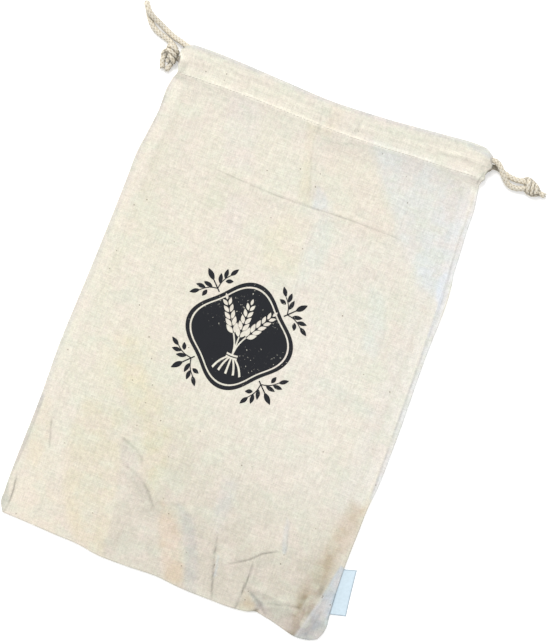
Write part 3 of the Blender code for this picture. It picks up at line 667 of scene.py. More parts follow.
# Main folds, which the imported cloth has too: height, spread to the left and the right of the
# line, and the line
mainFolds = [
    (1.1, 5, 11, [(-98, 132), (-60, 130), (-20, 128.5), (30, 130.5), (110, 130)]),
    (1.2, 6, 10, [(-8, 197), (-5, 170), (1, 155), (8, 128)]),
    (-0.7, 8, 8, [(-140, -122), (-134, -137), (-130, -150), (-128, -160)]),
    (1.0, 9, 6, [(-80, -120), (-60, -127), (-48, -139)]),
    (3.4, 15, 7, [(-70, -144), (-50, -149), (-33, -160), (-27, -170), (-14, -177)]),
    (2.0, 12, 9, [(-52, -150), (-52, -190), (-53, -226)]),
    (0.9, 7, 7, [(-16, -158), (0, -165), (14, -168)]),
    (-1.2, 8, 7, [(36, -172), (43, -200), (53, -232)]),
    (2.2, 14, 8, [(50, -198), (60, -191), (77, -179), (98, -167)]),
    (2.6, 6, 9, [(75, -178), (77, -195), (76, -228)]),
    (1.4, 8, 6, [(91, -140), (96, -158), (101, -178)]),
    (0.8, 8, 8, [(108, -62), (106, -85), (100, -102)]),
    (2.2, 7, 5, [(79, -208), (88, -213), (98, -221), (104, -227)]),
    (2.2, 8, 6, [(96, -219), (110, -214), (124, -210)]),
    (6.5, 13, 8, [(151, -158), (148, -178), (145, -190), (141, -205), (136, -240)]),
    (-1.0, 9, 9, [(134, -90), (132, -150), (124, -200)]),
    (0.7, 5, 7, [(40, 96), (80, 97), (130, 92)]),
    (0.7, 6, 7, [(55, -8), (90, -13), (145, -18)]),
]
# Fine creases on them: height, spread to the left and the right, how much darker they are painted
# as shade (below 0, lighter as a painted highlight), and the line
creases = [
    (-0.5, 1.0, 0.9, 0.3, [(-95, 134.5), (-80, 131), (-66, 129.8), (-45, 128.6), (-20, 128), (10, 128.8),
        (40, 130.8), (90, 131.2), (112, 129.5)]),
    (-0.35, 1.2, 1.2, 0.26, [(-2, 189), (8, 190.2), (18, 192.2), (30, 197)]),
    (0.5, 2.5, 4, 0, [(-9, 200), (-7.4, 180), (-2.2, 160), (9, 128)]),
    (-0.5, 1.3, 1.3, 0.27, [(-139, -125), (-136, -138), (-132.5, -149), (-130, -158)]),
    (-0.4, 1.4, 1.8, 0.34, [(-78, -121), (-66, -124.6), (-56, -128.6), (-50.6, -133), (-46, -142)]),
    (-0.6, 1.5, 3.0, 0.25, [(-72, -140), (-62, -144.6), (-51, -147.4), (-42, -152.4), (-34, -158.6),
        (-27, -168), (-20, -176)]),
    (-0.5, 1.5, 2.0, 0.09, [(-14, -159), (0, -166), (14, -167)]),
    (-0.8, 1.3, 1.3, 0.42, [(37, -170), (40.3, -188), (43.5, -200), (47.5, -213.5), (51, -225),
        (53.5, -235)]),
    (-0.7, 1.0, 1.1, 0.38, [(51, -197), (62, -190), (72, -183), (80, -175), (90, -169.5), (97, -167)]),
    (-0.7, 1.15, 1.15, 0.58, [(75.8, -182), (76.4, -194), (76, -204), (75.8, -214), (75.4, -222),
        (75, -234)]),
    (0.7, 1.5, 1.5, -0.03, [(90, -139), (95, -152), (99, -163), (101, -182)]),
    (-0.3, 0.9, 0.9, 0.2, [(94.5, -148), (97, -156), (98.4, -160), (99.3, -165), (99.4, -171)]),
    (0, 0.9, 0.9, -0.09, [(98.6, -153), (100.2, -160), (101.1, -167), (101.6, -180)]),
    (-1.0, 1.6, 2.2, 0.3, [(79, -209.5), (86, -212), (93, -216.5), (98, -221), (106, -228)]),
    (0, 0.9, 0.9, 0.1, [(76, -207), (88, -207.6), (104, -209), (118, -209.5)]),
    (-0.8, 1.3, 1.5, 0.25, [(95, -218), (104, -214), (118, -210.5), (134, -207)]),
    (-0.9, 1.6, 1.6, 0.4, [(86, -230.5), (91, -226), (96.5, -221)]),
    (0.6, 1.2, 2.0, 0, [(151, -160), (147, -180), (143, -200), (139, -218), (135, -240)]),
    (-0.4, 1.0, 1.0, 0.12, [(142, 201), (143.5, 185), (144.5, 165), (144.5, 150), (145.5, 135), (146.5, 118),
        (148, 100), (148.8, 60), (150, 30), (151, 0), (151.8, -50), (152.5, -95), (151.5, -130)]),
    (-0.25, 2.2, 2.2, 0.03, [(138, 75), (137.5, 0), (137, -95)]),
    (-0.25, 2.2, 2.2, 0.045, [(-133, 204), (-135, 150), (-135.5, 80)]),
    (-0.4, 1.0, 1.0, 0.2, [(-151.6, -110), (-151.8, -135), (-152, -155), (-153.6, -185)]),
    (-0.5, 1.1, 1.1, 0.5, [(-150, -184), (-147.6, -200), (-147, -214), (-149.5, -226)]),
    (-0.2, 0.9, 0.9, 0.12, [(-146.4, 162), (-147.6, 148), (-150.4, 125), (-152, 100), (-153, 70)]),
    (0, 1.3, 1.3, 0.11, [(-50, 224.4), (-20, 223.4), (0, 222.7), (20, 223.6), (50, 225.6), (85, 229)]),
    (-0.15, 0.9, 0.9, 0.18, [(143.3, 196), (143.7, 175), (144.6, 150), (145.9, 130), (148.3, 110),
        (149.5, 97), (150.4, 50), (151.4, 0), (152.6, -50), (153.5, -90), (153.8, -125), (153.5, -160)]),
    (-0.2, 1.8, 1.8, 0.03, [(50, 98), (75, 97), (100, 94.5), (132, 96)]),
    (-0.2, 1.8, 1.8, 0.03, [(56, 92), (95, 91), (136, 89)]),
    (-0.3, 2.0, 2.5, 0.035, [(56, -5), (80, -10), (105, -16), (140, -22)]),
    (-0.3, 1.4, 1.4, 0.06, [(108, -64), (105, -85), (99, -104)]),
    (-0.5, 1.2, 1.2, 0.2, [(-146, 201), (-140, 199.3), (-132, 199.6)]),
    # The next four rows paint shadow at the mouths of the side slits.
    (-0.3, 0.9, 0.9, 0.45, [(141.2, 200), (141.8, 206.5), (143.0, 209.5), (143.8, 215)]),
    (0, 0.9, 0.9, 0.5, [(147.4, 209.5), (146.2, 206.5), (144, 203)]),
    (0, 0.9, 0.9, 0.75, [(144.4, 214), (146.6, 215.8), (148.8, 218.5), (147.6, 221), (145.4, 223.5),
        (143.8, 227)]),
    (0, 1.1, 1.1, 0.9, [(-145.6, 213.5), (-145.2, 210), (-144.6, 206)]),
    (0, 1.2, 1.2, 0.22, [(-145.4, 193), (-146.8, 180), (-147, 160), (-149, 143)]),
    (-0.15, 1.4, 1.4, 0.09, [(-142, 211.8), (-110, 213.3), (-80, 216.3), (-50, 216.5)]),
    (-0.15, 1.4, 1.4, 0.1, [(96, 213), (112, 216), (130, 219)]),
    (-0.5, 1.2, 1.2, 0.25, [(24.6, 217), (25, 212), (24, 208), (22, 204), (21, 200)]),
    (0.3, 1.2, 1.2, -0.07, [(28, 215), (27.8, 210), (26.6, 206), (26, 201)]),
    (-0.4, 1.2, 1.2, 0.2, [(-10, 214), (-10.4, 209), (-9.2, 204), (-7.6, 198), (-7.6, 191)]),
    (0.4, 1.2, 1.2, -0.07, [(-6.6, 214), (-6.8, 209), (-5.8, 204), (-4.4, 198), (-4.2, 191)]),
    (-0.3, 1.2, 1.2, 0.1, [(-1.6, 214), (-1, 208), (1, 203), (2.6, 198)]),
    (0, 1.2, 1.2, -0.05, [(-9.4, 224), (-7.6, 219), (-5.4, 215)]),
    (-0.25, 1.1, 1.1, 0.14, [(-8.4, 203), (-8, 186), (-4.6, 170), (-1.4, 160), (3.6, 146), (10, 127)]),
    (0.3, 1.0, 1.0, -0.16, [(149.5, -166), (147, -182), (143.5, -200), (141, -212), (137.5, -236)]),
    (-0.3, 0.9, 0.9, 0.3, [(153.5, -160), (154.5, -180), (155.5, -200), (156.5, -217)]),
    (-0.3, 1.5, 1.5, 0.06, [(143, -221), (146.5, -213), (148.5, -203)]),
    # The next two rows paint a broad band of shade on one side of their line: beside the flap at the lower
    # right, and beside the fold lower left of the middle.
    (0, 1.0, 14, 0.3, [(143.2, -172), (142, -188), (139.4, -204), (136.6, -217), (134.2, -226),
        (130, -252)]),
    (0, 14, 1, 0.02, [(-74, -122), (-64, -150), (-60, -172), (-57, -190), (-53, -214), (-51, -245)]),
]
stitching = dict(
    ridge=0.45, below=1.2, spread=1.8,      # height of the ridge along the stitches, place and spread
    pitch=3.2, long=2.7, thick=0.5, lift=0.25, flatness=0.8,
    reach=139.5, perMm=10,                  # the row's ends in X, and the points a stitch is placed by
    fade=4,                                 # the ridge's way down to the sides
    sides=6, steps=7, tip=0.12,             # of a stitch's bead, and how thick its ends are, squared
    colour=dyeAndShade(250, 246, 234), fuzz=1.6, fuzzTones=(0.9, 1.05), depth=0.06,
)
ripples = [(0.10, 0.021, 0.013, 0.4), (0.09, -0.017, 0.034, 1.9), (0.06, 0.052, -0.021, 3.0),
           (0.05, 0.038, 0.061, 0.9), (0.03, -0.093, 0.047, 2.2)]   # height, turns per mm in X and Y, phase


def sideDistance(x, y):
    return np.minimum(x - curveAt(leftEdge, y), curveAt(rightEdge, y) - x)


# Distance from a bent line, which side of it a point is on, and how far along it, 0 to 1
def fromLine(line, x, y):
    line = np.asarray(line, float)
    run = runAlong(line)
    best, side, place = np.full(x.shape, np.inf), np.zeros(x.shape), np.zeros(x.shape)
    for start, end, before in zip(line[:-1], line[1:], run):
        length = np.linalg.norm(end - start)
        along = (end - start) / length
        s = np.clip((x - start[0]) * along[0] + (y - start[1]) * along[1], 0, length)
        dx, dy = x - start[0] - along[0] * s, y - start[1] - along[1] * s
        near = np.hypot(dx, dy) < best
        best = np.where(near, np.hypot(dx, dy), best)
        side = np.where(near, along[0] * dy - along[1] * dx, side)
        place = np.where(near, (before + s) / run[-1], place)
    return best, side, place


# 0 at both ends of a line, easing to 1 over a share of it
def fading(place, share):
    return ease(place / share) * ease((1 - place) / share)


# A fold's height: a bell over the distance from its line, wider on one side, that fades to
# a small part of itself at its ends
def foldHeight(height, left, right, line, x, y, atEnds=0.15, share=0.25):
    away, side, place = fromLine(line, x, y)
    spread = np.where(side > 0, left, right)
    return height * np.exp(-((away / spread) ** 2)) * (atEnds + (1 - atEnds) * fading(place, share))


# Heights that the layers' middles are told from: up to a cord's, through one layer with its
# space, and the front's where it lies on the back
toCord = cord["thick"] / 2 + bag["clearance"] + bag["thick"] / 2
layer = bag["thick"] + bag["clearance"]
onBack = bag["thick"] * 1.5 + bag["edgeSpace"]


# The front below the casing: a crown that rises from the seams, with the folds on it
def panelHeight(x, y):
    fromEdge = np.minimum(sideDistance(x, y), y - curveAt(bottomEdge, x))
    height = onBack + bag["puff"] * ease(fromEdge / bag["puffReach"])
    hold = bag["foldAtSeam"] + (1 - bag["foldAtSeam"]) * ease(fromEdge / bag["seamHold"])
    for fold in mainFolds:
        height = height + foldHeight(*fold, x, y) * hold
    for size, overX, overY, phase in ripples:
        swell = size * np.sin(2 * np.pi * (x * overX + y * overY) + phase)
        height = height + swell * ease(fromEdge / bag["rippleReach"])
    height = higher(height, onBack, bag["roundEdge"])
    for size, left, right, _, line in creases:
        height = height + foldHeight(size, left, right, line, x, y)
    return height


allCords = np.concatenate([smoothLine(route, bag["cordStep"]) for route in (leftRoute, rightRoute)])
backCords = allCords[(allCords[:, 2] < bag["backCordTop"]) & (abs(allCords[:, 0]) < bag["hemEnd"] + 1)]


# Height over cords: a reach above each cord's line, falling away from it as a parabola
def liftOver(cords, x, y, reach, drape):
    height = np.full(x.shape, -np.inf)
    for px, py, pz in cords[::2]:
        height = np.maximum(height, pz + reach - ((x - px) ** 2 + (y - py) ** 2) / (2 * drape))
    return height


# Height that eases down from a reach above the nearest cord to a foot, over a run
def slopeFrom(cords, x, y, reach, run, foot):
    away, top = np.full(x.shape, np.inf), np.zeros(x.shape)
    for px, py, pz in cords[::2]:
        distance = np.hypot(x - px, y - py)
        top = np.where(distance < away, pz + reach, top)
        away = np.minimum(away, distance)
    return foot + (top - foot) * ease(1 - away / run)


def backHemHeight(x, y):
    base = bag["thick"] / 2 + layer + bag["backHemLift"]
    return higher(liftOver(backCords, x, y, toCord, toCord * bag["hemDrape"]), base, bag["roundHem"])


def frontHemHeight(x, y):
    base = bag["thick"] / 2 + 2 * layer + bag["frontHemLift"]
    reach = toCord + layer
    return higher(liftOver(backCords, x, y, reach, reach * bag["hemDrape"]), base, bag["roundHem"])


# The whole front: the panel, its slope up over the hems, and the ridges of the cords
def frontHeight(x, y):
    overHems = slopeFrom(backCords, x, y, toCord + 2 * layer, bag["casingRun"], bag["casingFoot"])
    panel = higher(overHems, panelHeight(x, y), bag["roundSlope"])
    seamTop = curveAt(topEdge, x) - bag["seamTop"]
    besideSeam = 1 - ease(sideDistance(x, y) / bag["sunkReach"])
    sunk = besideSeam * ease((seamTop + bag["sunkStart"] - y) / bag["sunkRun"])
    panel = panel + (np.minimum(panel, onBack + bag["frontHemLift"]) - panel) * sunk
    ridges = liftOver(allCords, x, y, toCord + bag["ridgeSpace"], toCord * bag["frontDrape"])
    height = higher(panel, ridges, bag["roundCord"])
    away = y - curveAt(stitchLine, x)
    relief = stitching["ridge"] * np.exp(-(((away + stitching["below"]) / stitching["spread"]) ** 2))
    return height + relief * ease(sideDistance(x, y) / stitching["fade"])


# Places of the columns along the bottom edge, closer together at both ends: t - c sin(2 pi t) / 2 pi
def columnPlaces(columns):
    t = np.linspace(0, 1, columns + 1)
    share = t - bag["crowded"] * np.sin(2 * np.pi * t) / (2 * np.pi)
    return bottomEdge[0][0] + (bottomEdge[-1][0] - bottomEdge[0][0]) * share


def spreadRow(stations, left, right):
    share = (stations - stations[0]) / (stations[-1] - stations[0])
    return left + (right - left) * share


# X and Y of a row on the outside of the bag whose Y at each X is level(X)
def outerRow(stations, level):
    y = level(stations)
    x = spreadRow(stations, curveAt(leftEdge, y[0]), curveAt(rightEdge, y[-1]))
    return x, level(x)


def belowTop(depth, rise=0.0):
    return lambda x: curveAt(topEdge, x) + rise - depth


def panelLine(share):
    top = belowTop(bag["seamTop"])
    return lambda x: top(x) + (curveAt(bottomEdge, x) - top(x)) * share


# Shares of the way down the panel at which its rows lie, closer where it creases
def panelShares(fineSteps=2000):
    places = np.linspace(bag["spacing"][-1][0], bag["spacing"][0][0], fineSteps)
    density = 1 / curveAt(bag["spacing"], places)
    count = np.concatenate([[0], np.cumsum((density[1:] + density[:-1]) / 2)])
    even = np.linspace(0, count[-1], bag["rows"] + 1)
    return (np.interp(even, count, places) - places[0]) / (places[-1] - places[0])


# X of a row on a hem, whose outer columns are drawn in to the hem's end
def hemRow(outer):
    sizes = abs(outer)
    ends = np.where(outer < 0, sizes[0], sizes[-1])
    start, stop = bag["hemNarrows"], bag["hemEnd"]
    drawn = start + (sizes - start) * (stop - start) / (ends - start)
    return np.sign(outer) * np.where(sizes > start, drawn, sizes)


# Rows of X, Y and Z round a rolled edge, from one row to another in about a half turn:
# over a line, with the Z that they end at given by a function of X and Y
def rolledEdge(line, depth, roll, fromX, toX, fromZ, toZ):
    flatter, degrees, rowCount = roll
    for turn in np.radians(np.linspace(-degrees, degrees, rowCount)):
        share = (1 + np.sin(turn)) / 2
        x = fromX + (toX - fromX) * share
        y = line(x)
        out = (depth - flatter) * np.cos(turn)
        yield np.column_stack([x, y + out, fromZ + (toZ(x, y) - fromZ) * share])


def surfaceRow(x, y, height):
    return np.column_stack([x, y, height(x, y)])


# The front's middle surface, row by row: up the hem, over the top edge, down the casing
# and the panel to the bottom fold
def frontSurface(stations):
    foldX = spreadRow(stations, leftEdge[-1][1], rightEdge[-1][1])
    hemX = hemRow(foldX)
    depth, rowCount = bag["foldDepth"], bag["casingRows"]
    rows = [surfaceRow(hemX, belowTop(down)(hemX), frontHemHeight)
            for down in np.linspace(bag["frontHem"], depth, rowCount)]
    rows += rolledEdge(belowTop(depth), depth, bag["roll"], hemX, foldX, rows[-1][:, 2], frontHeight)
    casing = [belowTop(down) for down in np.linspace(depth, bag["seamTop"], rowCount)[:-1]]
    seamRow = len(rows) + len(casing)
    rows += [surfaceRow(*outerRow(stations, line), frontHeight)
             for line in casing + [panelLine(share) for share in panelShares()]]
    return np.array(rows), seamRow


# The back's middle surface: flat on the table from the bottom fold up, then its own hem
def backSurface(front, seamRow):
    step = bag["coarse"]
    flat = bag["thick"] / 2
    rows = list(front[seamRow:][::-step, ::step].copy())
    for row in rows:
        row[:, 2] = flat
    seamRow = len(rows) - 1
    stations = columnPlaces(bag["columns"])[::step]
    for down in (*bag["backRows"], bag["backFoldDepth"]):
        x, y = outerRow(stations, belowTop(down, bag["backRise"]))
        rows.append(np.column_stack([x, y, np.full(len(x), flat)]))
    outerX, depth = rows[-1][:, 0], bag["backFoldDepth"]
    hemX = hemRow(outerX)
    foldLine = belowTop(depth, bag["backRise"])
    hemZ = backHemHeight(hemX, foldLine(hemX))
    rows += rolledEdge(foldLine, depth, bag["backRoll"], outerX, hemX, flat, lambda x, y: hemZ)
    rows += [surfaceRow(hemX, belowTop(down)(hemX), backHemHeight)
             for down in np.linspace(bag["backHemTop"], bag["backHem"], bag["casingRows"])]
    return np.array(rows), seamRow


# Outside and inside of a middle surface, half the cloth's thickness along its normals
def bothSides(surface):
    normal = unit(np.cross(np.gradient(surface, axis=0), np.gradient(surface, axis=1)))
    return surface + normal * bag["thick"] / 2, surface - normal * bag["thick"] / 2


# Soft patches laid on the cloth's colour, partly its own tone and partly painted shade, such as
# the dark corner at the lower right: middle, half width and height, how strong, and colour
softTintsAndShade = [
    ((60, 60), (70, 150), 0.8, (237, 233, 222)),
    ((-70, 80), (60, 120), 0.7, (239, 233, 217)),
    ((40, -195), (95, 75), 0.95, (219, 212, 198)),
    ((-60, -170), (60, 80), 0.6, (229, 222, 205)),
    ((135, -205), (30, 60), 0.7, (196, 188, 172)),
    ((-137, -215), (24, 22), 0.7, (242, 235, 220)),
]
# Patches with an outline, many of them painted shade on fold facets, on the flap and the band
# beside it at the lower right and along the edges, a few painted highlights, the rest the
# cloth's own tone: how far their edges blur, how strong, colour, outline
tintAndShadePatches = [
    (9, 0.85, (230, 232, 228), [(38, 203), (142, 206), (146, 165), (149, 112), (140, 95), (128, 98),
        (112, 114), (93, 131), (86, 146), (66, 168), (52, 186)]),
    (8, 0.6, (236, 228, 212), [(5, 192), (45, 192), (85, 140), (80, 118), (20, 130), (8, 150)]),
    (5, 0.7, (231, 233, 222), [(16, 142), (27, 141), (38, 110), (40, 60), (22, 58), (16, 95), (22, 122)]),
    (3, 0.8, (224, 229, 226), [(9, 149), (19, 146), (26, 131), (12, 129.5)]),
    (4, 0.7, (233, 226, 204), [(-18, 198), (-8.6, 198), (-7, 180), (-1, 160), (4.6, 145), (9, 130),
        (-2, 130), (-12, 165)]),
    (3, 0.6, (234, 227, 206), [(-7, 222), (8, 222), (8, 206), (4, 192), (-8, 192), (-3, 208)]),
    (8, 0.7, (238, 232, 210), [(-8, 126), (18, 118), (20, 66), (-10, 62), (-20, 90)]),
    (8, 0.55, (237, 229, 222), [(-92, 200), (-64, 200), (-50, 140), (-74, 138), (-86, 165)]),
    (6, 0.6, (239, 231, 223), [(-62, 115), (-42, 116), (-40, 78), (-58, 72)]),
    (6, 0.6, (234, 228, 202), [(-112, -38), (-93, -38), (-72, -66), (-52, -78), (-50, -92), (-66, -98),
        (-84, -88), (-100, -66)]),
    (5, 0.7, (232, 232, 213), [(-85, 126), (-65, 125), (-62, 101), (-79, 98)]),
    (6, 0.55, (234, 226, 201), [(-118, -100), (-80, -100), (-72, -135), (-62, -152), (-57, -190),
        (-52, -228), (-80, -226), (-105, -185), (-118, -150)]),
    (4, 0.6, (226, 219, 206), [(-66, -145), (-52, -149.5), (-36, -158), (-27, -172), (-16, -196), (-8, -226),
        (-52, -227), (-57, -190)]),
    (3, 0.4, (216, 210, 198), [(-56, -148), (-46, -151), (-35, -158), (-29, -168), (-38, -166),
        (-50, -156)]),
    (5, 0.8, (229, 211, 187), [(-20, -163), (-6, -168), (8, -190), (18, -210), (24, -228), (8, -228),
        (-6, -205), (-16, -180)]),
    (3, 0.7, (223, 216, 207), [(-73, -124), (-55, -132), (-49, -142), (-58, -146), (-68, -140)]),
    (6, 0.65, (232, 225, 199), [(-62, -98), (-35, -100), (-26, -140), (-30, -158), (-44, -148),
        (-52, -132)]),
    (5, 0.6, (221, 221, 216), [(24, -122), (38, -124), (40, -150), (36, -172), (27, -160)]),
    (4, 0.75, (207, 205, 199), [(-6, -159), (12, -168), (24, -190), (34, -215), (38, -231), (27, -231),
        (20, -208), (8, -182)]),
    (2, 0.75, (206, 212, 210), [(90, -137), (93, -140), (96.5, -152), (99.5, -161), (99.8, -168), (97, -168),
        (93.5, -160), (90.5, -147)]),
    (9, 0.85, (210, 195, 171), [(139, -104), (153, -104), (150, -148), (143, -158), (140, -172), (135, -168),
        (133, -150), (134, -130)]),
    (3, 0.75, (222, 215, 198), [(144, -152), (150, -156), (148, -170), (145.4, -182), (142.6, -182),
        (142.4, -166)]),
    (8, 0.75, (231, 226, 213), [(120, 203), (143, 207), (143, 184), (122, 184)]),
    (3, 0.6, (228, 236, 242), [(139, 112), (146, 120), (151, 102), (151, 86), (143, 94)]),
    (3, 0.7, (221, 222, 222), [(120, 232.2), (136, 232.4), (146, 228), (143, 225.5), (133, 227.5),
        (121, 229)]),
    (8, 0.85, (194, 181, 158), [(134, -148), (143, -150), (142.5, -168), (140.5, -190), (136, -218),
        (131, -245), (121, -240), (124, -200), (129, -168)]),
    (6, 0.9, (166, 151, 125), [(132, -194), (141, -192), (140, -205), (137, -218), (133, -240), (121, -238),
        (127, -212), (129, -198)]),
    (2, 0.9, (209, 216, 222), [(150, -160), (156, -162), (159, -205), (158, -222), (151, -236), (132, -240),
        (137.6, -214), (142, -198), (145.4, -182), (147.4, -170)]),
    (5, 0.7, (172, 176, 180), [(152, -210), (160, -210), (158, -224), (150, -242), (132, -242), (136, -226),
        (140.4, -208), (143.4, -212), (146, -222), (150, -220)]),
    (6, 0.5, (193, 192, 190), [(145, -205), (150, -202), (153, -214), (160, -214), (156, -240), (137, -240),
        (141, -225)]),
    (2, 0.8, (196, 212, 224), [(152, -163), (157, -163), (159, -216), (154.5, -214)]),
    (2, 0.9, (152, 151, 152), [(83, -210.8), (88, -211.8), (96, -214.2), (99, -217.5), (105, -224),
        (96, -221.8), (89, -219.4), (84, -214)]),
    (3, 0.8, (196, 191, 179), [(80, -208.5), (118, -208), (124, -211), (106, -216), (96, -216)]),
    (2, 0.9, (176, 166, 148), [(88.5, -227), (91.5, -223), (95, -222), (97, -225), (94, -228)]),
    (3, 0.8, (214, 198, 172), [(77, -212), (84, -213), (91, -219), (89, -228), (77, -228)]),
    (1, 0.7, (214, 222, 224), [(43.5, -190), (45, -190), (49, -208), (47.3, -210)]),
    (4, 0.7, (204, 198, 187), [(96, -219), (112, -213), (124, -212), (130, -232), (108, -229), (98, -224)]),
    (5, 0.7, (230, 232, 219), [(58, -4), (85, -8), (106, -15), (130, -20), (128, -28), (95, -23),
        (64, -15)]),
    (6, 0.65, (229, 234, 226), [(86, 82), (100, 78), (116, 40), (112, 22), (98, 28), (92, 55)]),
    (4, 0.5, (238, 228, 204), [(-150, -112), (-143, -115), (-134, -150), (-136, -178), (-147, -180),
        (-150, -150)]),
    (2, 0.8, (226, 229, 232), [(144, 196), (152, 196), (152, 118), (157, 40), (158, -60), (156, -95),
        (152.6, -95), (151.8, -50), (150, 30), (148.8, 60), (146.5, 118), (145, 150)]),
    (2, 0.8, (196, 202, 190), [(-157, -180), (-154.6, -180), (-154, -196), (-151, -204), (-147.6, -212),
        (-149.5, -224), (-156, -220), (-157, -200)]),
    (2, 0.7, (206, 202, 196), [(-156, -112), (-151.6, -112), (-151.8, -135), (-152, -155), (-153.6, -185),
        (-157, -180)]),
]
ground = dyeAndShade(238, 234, 219)


def insideOf(outline, x, y):
    xs, ys = np.asarray(outline, float).T
    inside = np.zeros(x.shape, bool)
    for ax, ay, bx, by in zip(xs, ys, np.roll(xs, -1), np.roll(ys, -1)):
        if ay != by:
            inside ^= ((ay > y) != (by > y)) & (x < (bx - ax) * (y - ay) / (by - ay) + ax)
    return inside


# Strips of painted light and shade along the casing and the sides, such as the darker rolled
# top edge and the lighter slope of the casing: millimetres in from the edge, then how much
# lighter red, green and blue look there
casingPaintedShading = [
    (0, -0.112, -0.098, -0.052), (1.5, -0.1, -0.09, -0.05), (4, -0.078, -0.073, -0.064),
    (6, -0.05, -0.049, -0.045), (8, -0.026, -0.025, -0.024), (9.5, -0.032, -0.032, -0.032),
    (11, 0.004, 0.004, 0.006), (13.3, 0.102, 0.102, 0.102), (15, 0.1, 0.1, 0.1),
    (17, 0.022, 0.022, 0.024), (20, -0.014, -0.014, -0.012), (23, 0.02, 0.02, 0.02),
    (28, 0.012, 0.012, 0.014), (31, 0.024, 0.024, 0.028), (35, 0.03, 0.03, 0.034),
    (39, 0.022, 0.022, 0.026), (43, 0.008, 0.008, 0.01), (47, 0, 0, 0),
]
leftPaintedShading = [
    (0, -0.03, -0.03, -0.01), (1.5, -0.025, -0.02, 0.0), (3, -0.008, -0.008, 0.004),
    (4.5, 0.01, 0.01, 0.012), (11, 0.012, 0.01, 0.012), (13, 0.0, 0.0, 0.0), (15, -0.02, -0.02, -0.024),
    (18, -0.012, -0.012, -0.018), (25, 0, 0, 0),
]
rightPaintedShading = [
    (0, 0.10, 0.10, 0.10), (1, 0.06, 0.055, 0.05), (2, 0.04, 0.035, 0.028), (4, 0.032, 0.028, 0.028),
    (5, 0.045, 0.043, 0.055), (6, 0.042, 0.042, 0.06), (8, 0.03, 0.03, 0.055), (12, 0.02, 0.022, 0.04),
    (14, 0.0, 0.004, 0.02), (15.5, -0.005, 0.0, 0.01), (17, 0.0, 0.0, 0.012), (20, 0.01, 0.01, 0.026),
    (26, 0.006, 0.006, 0.02), (36, 0, 0, 0),
]
# Soft tones over larger parts, partly the cloth's tone and partly painted light and shade: middle,
# half width and height, and the same three shares
softTonesAndShading = [
    ((-60, 120), (70, 60), (-0.016, -0.015, -0.016)), ((-130, 60), (25, 70), (-0.01, -0.012, -0.02)),
    ((60, -20), (70, 55), (0.016, 0.015, 0.02)), ((15, 105), (16, 24), (0.0, 0.006, 0.02)),
    ((-92, -60), (28, 34), (0.004, -0.004, -0.03)), ((-48, -105), (34, 30), (-0.014, -0.01, -0.032)),
    ((-20, -135), (30, 28), (-0.016, -0.016, -0.02)), ((-100, -210), (45, 26), (0.024, 0.004, -0.004)),
    ((-130, -175), (26, 40), (0.014, 0.004, 0.0)), ((128, 118), (26, 22), (-0.006, 0.008, 0.02)),
    ((104, -100), (30, 34), (0.008, 0.008, 0.016)), ((134, 203), (10, 6), (0.058, 0.054, 0.05)),
    ((-142, 199.5), (10, 4), (0.045, 0.045, 0.04)), ((-122, 152), (18, 26), (-0.018, -0.026, -0.02)),
    ((-125, 100), (18, 22), (-0.016, -0.018, -0.018)), ((70, 30), (22, 22), (0.015, 0.012, 0.012)),
    ((99, -173), (7, 9), (0.03, 0.028, 0.03)), ((60, -180), (12, 9), (-0.02, -0.02, -0.022)),
    ((0, -122), (12, 12), (-0.022, -0.022, -0.026)), ((128, 212), (34, 16), (0.02, 0.016, 0.018)),
    ((130, -150), (14, 20), (0.02, 0.02, 0.02)),
]


tinting = dict(
    sides=(-124, 14, 200, 8),           # the side strips' foot, its fade, their head, its fade
    seam=((0.066, 0.7, 1.3), (-0.01, -2.2, 1.2)),   # a painted highlight above the stitches and painted shade below them: how much, where, spread
    gamma=2.2, blurred=1.5,             # an edge's whole blur, as a share of its patch's number
    creaseWidth=0.72, creaseFade=0.2,
)


# A bell round a middle, 1 there, as a column of shares
def bell(x, y, middle, size):
    return np.exp(-(((x - middle[0]) / size[0]) ** 2 + ((y - middle[1]) / size[1]) ** 2))[:, None]


# Colour over the cloth, with light and shade painted into it: the ground; soft patches laid on
# by a bell over their ellipse; outlined ones by how far inside their outline a point is; the
# strips of painted light and shade; and the creases' painted shade and highlights
def clothTintAndShading(points):
    x, y = points[:, 0], points[:, 1]
    colour = np.tile(ground, (len(points), 1))
    for middle, size, mix, levels in softTintsAndShade:
        colour = colour + (np.array(dyeAndShade(*levels)) - colour) * (mix * bell(x, y, middle, size))
    for blur, mix, levels, outline in tintAndShadePatches:
        away = fromLine(outline + outline[:1], x, y)[0]
        depth = np.where(insideOf(outline, x, y), away, -away)
        share = mix * ease(0.5 + depth / blur / tinting["blurred"])
        colour = colour + (np.array(dyeAndShade(*levels)) - colour) * share[:, None]
    tones = curveAt(casingPaintedShading, curveAt(topEdge, x) - y)
    foot, footFade, head, headFade = tinting["sides"]
    level = (ease((y - foot) / footFade) * ease((head - y) / headFade))[:, None]
    tones += curveAt(rightPaintedShading, curveAt(rightEdge, y) - x) * level
    tones += curveAt(leftPaintedShading, x - curveAt(leftEdge, y)) * level
    fromStitches = y - curveAt(stitchLine, x)
    for tone, place, spread in tinting["seam"]:
        tones += tone * np.exp(-(((fromStitches - place) / spread) ** 2))[:, None]
    for middle, size, tone in softTonesAndShading:
        tones += bell(x, y, middle, size) * tone
    colour[:, :3] *= (1 + tones) ** tinting["gamma"]
    for _, left, right, shade, line in creases:
        away, side, place = fromLine(line, x, y)
        width = np.where(side > 0, left, right) * tinting["creaseWidth"]
        dark = shade * fading(place, tinting["creaseFade"]) * np.exp(-((away / width) ** 2))
        colour[:, :3] *= 1 - dark[:, None]
    return colour


# The vertices of a side's rim: down one seam from its row, along the bottom and up the other
def rimChain(grid, seam, fromTop):
    side = grid[seam:] if fromTop else grid[:seam + 1][::-1]
    return np.concatenate([side[:, 0], side[-1, 1:], side[-2::-1, -1]])


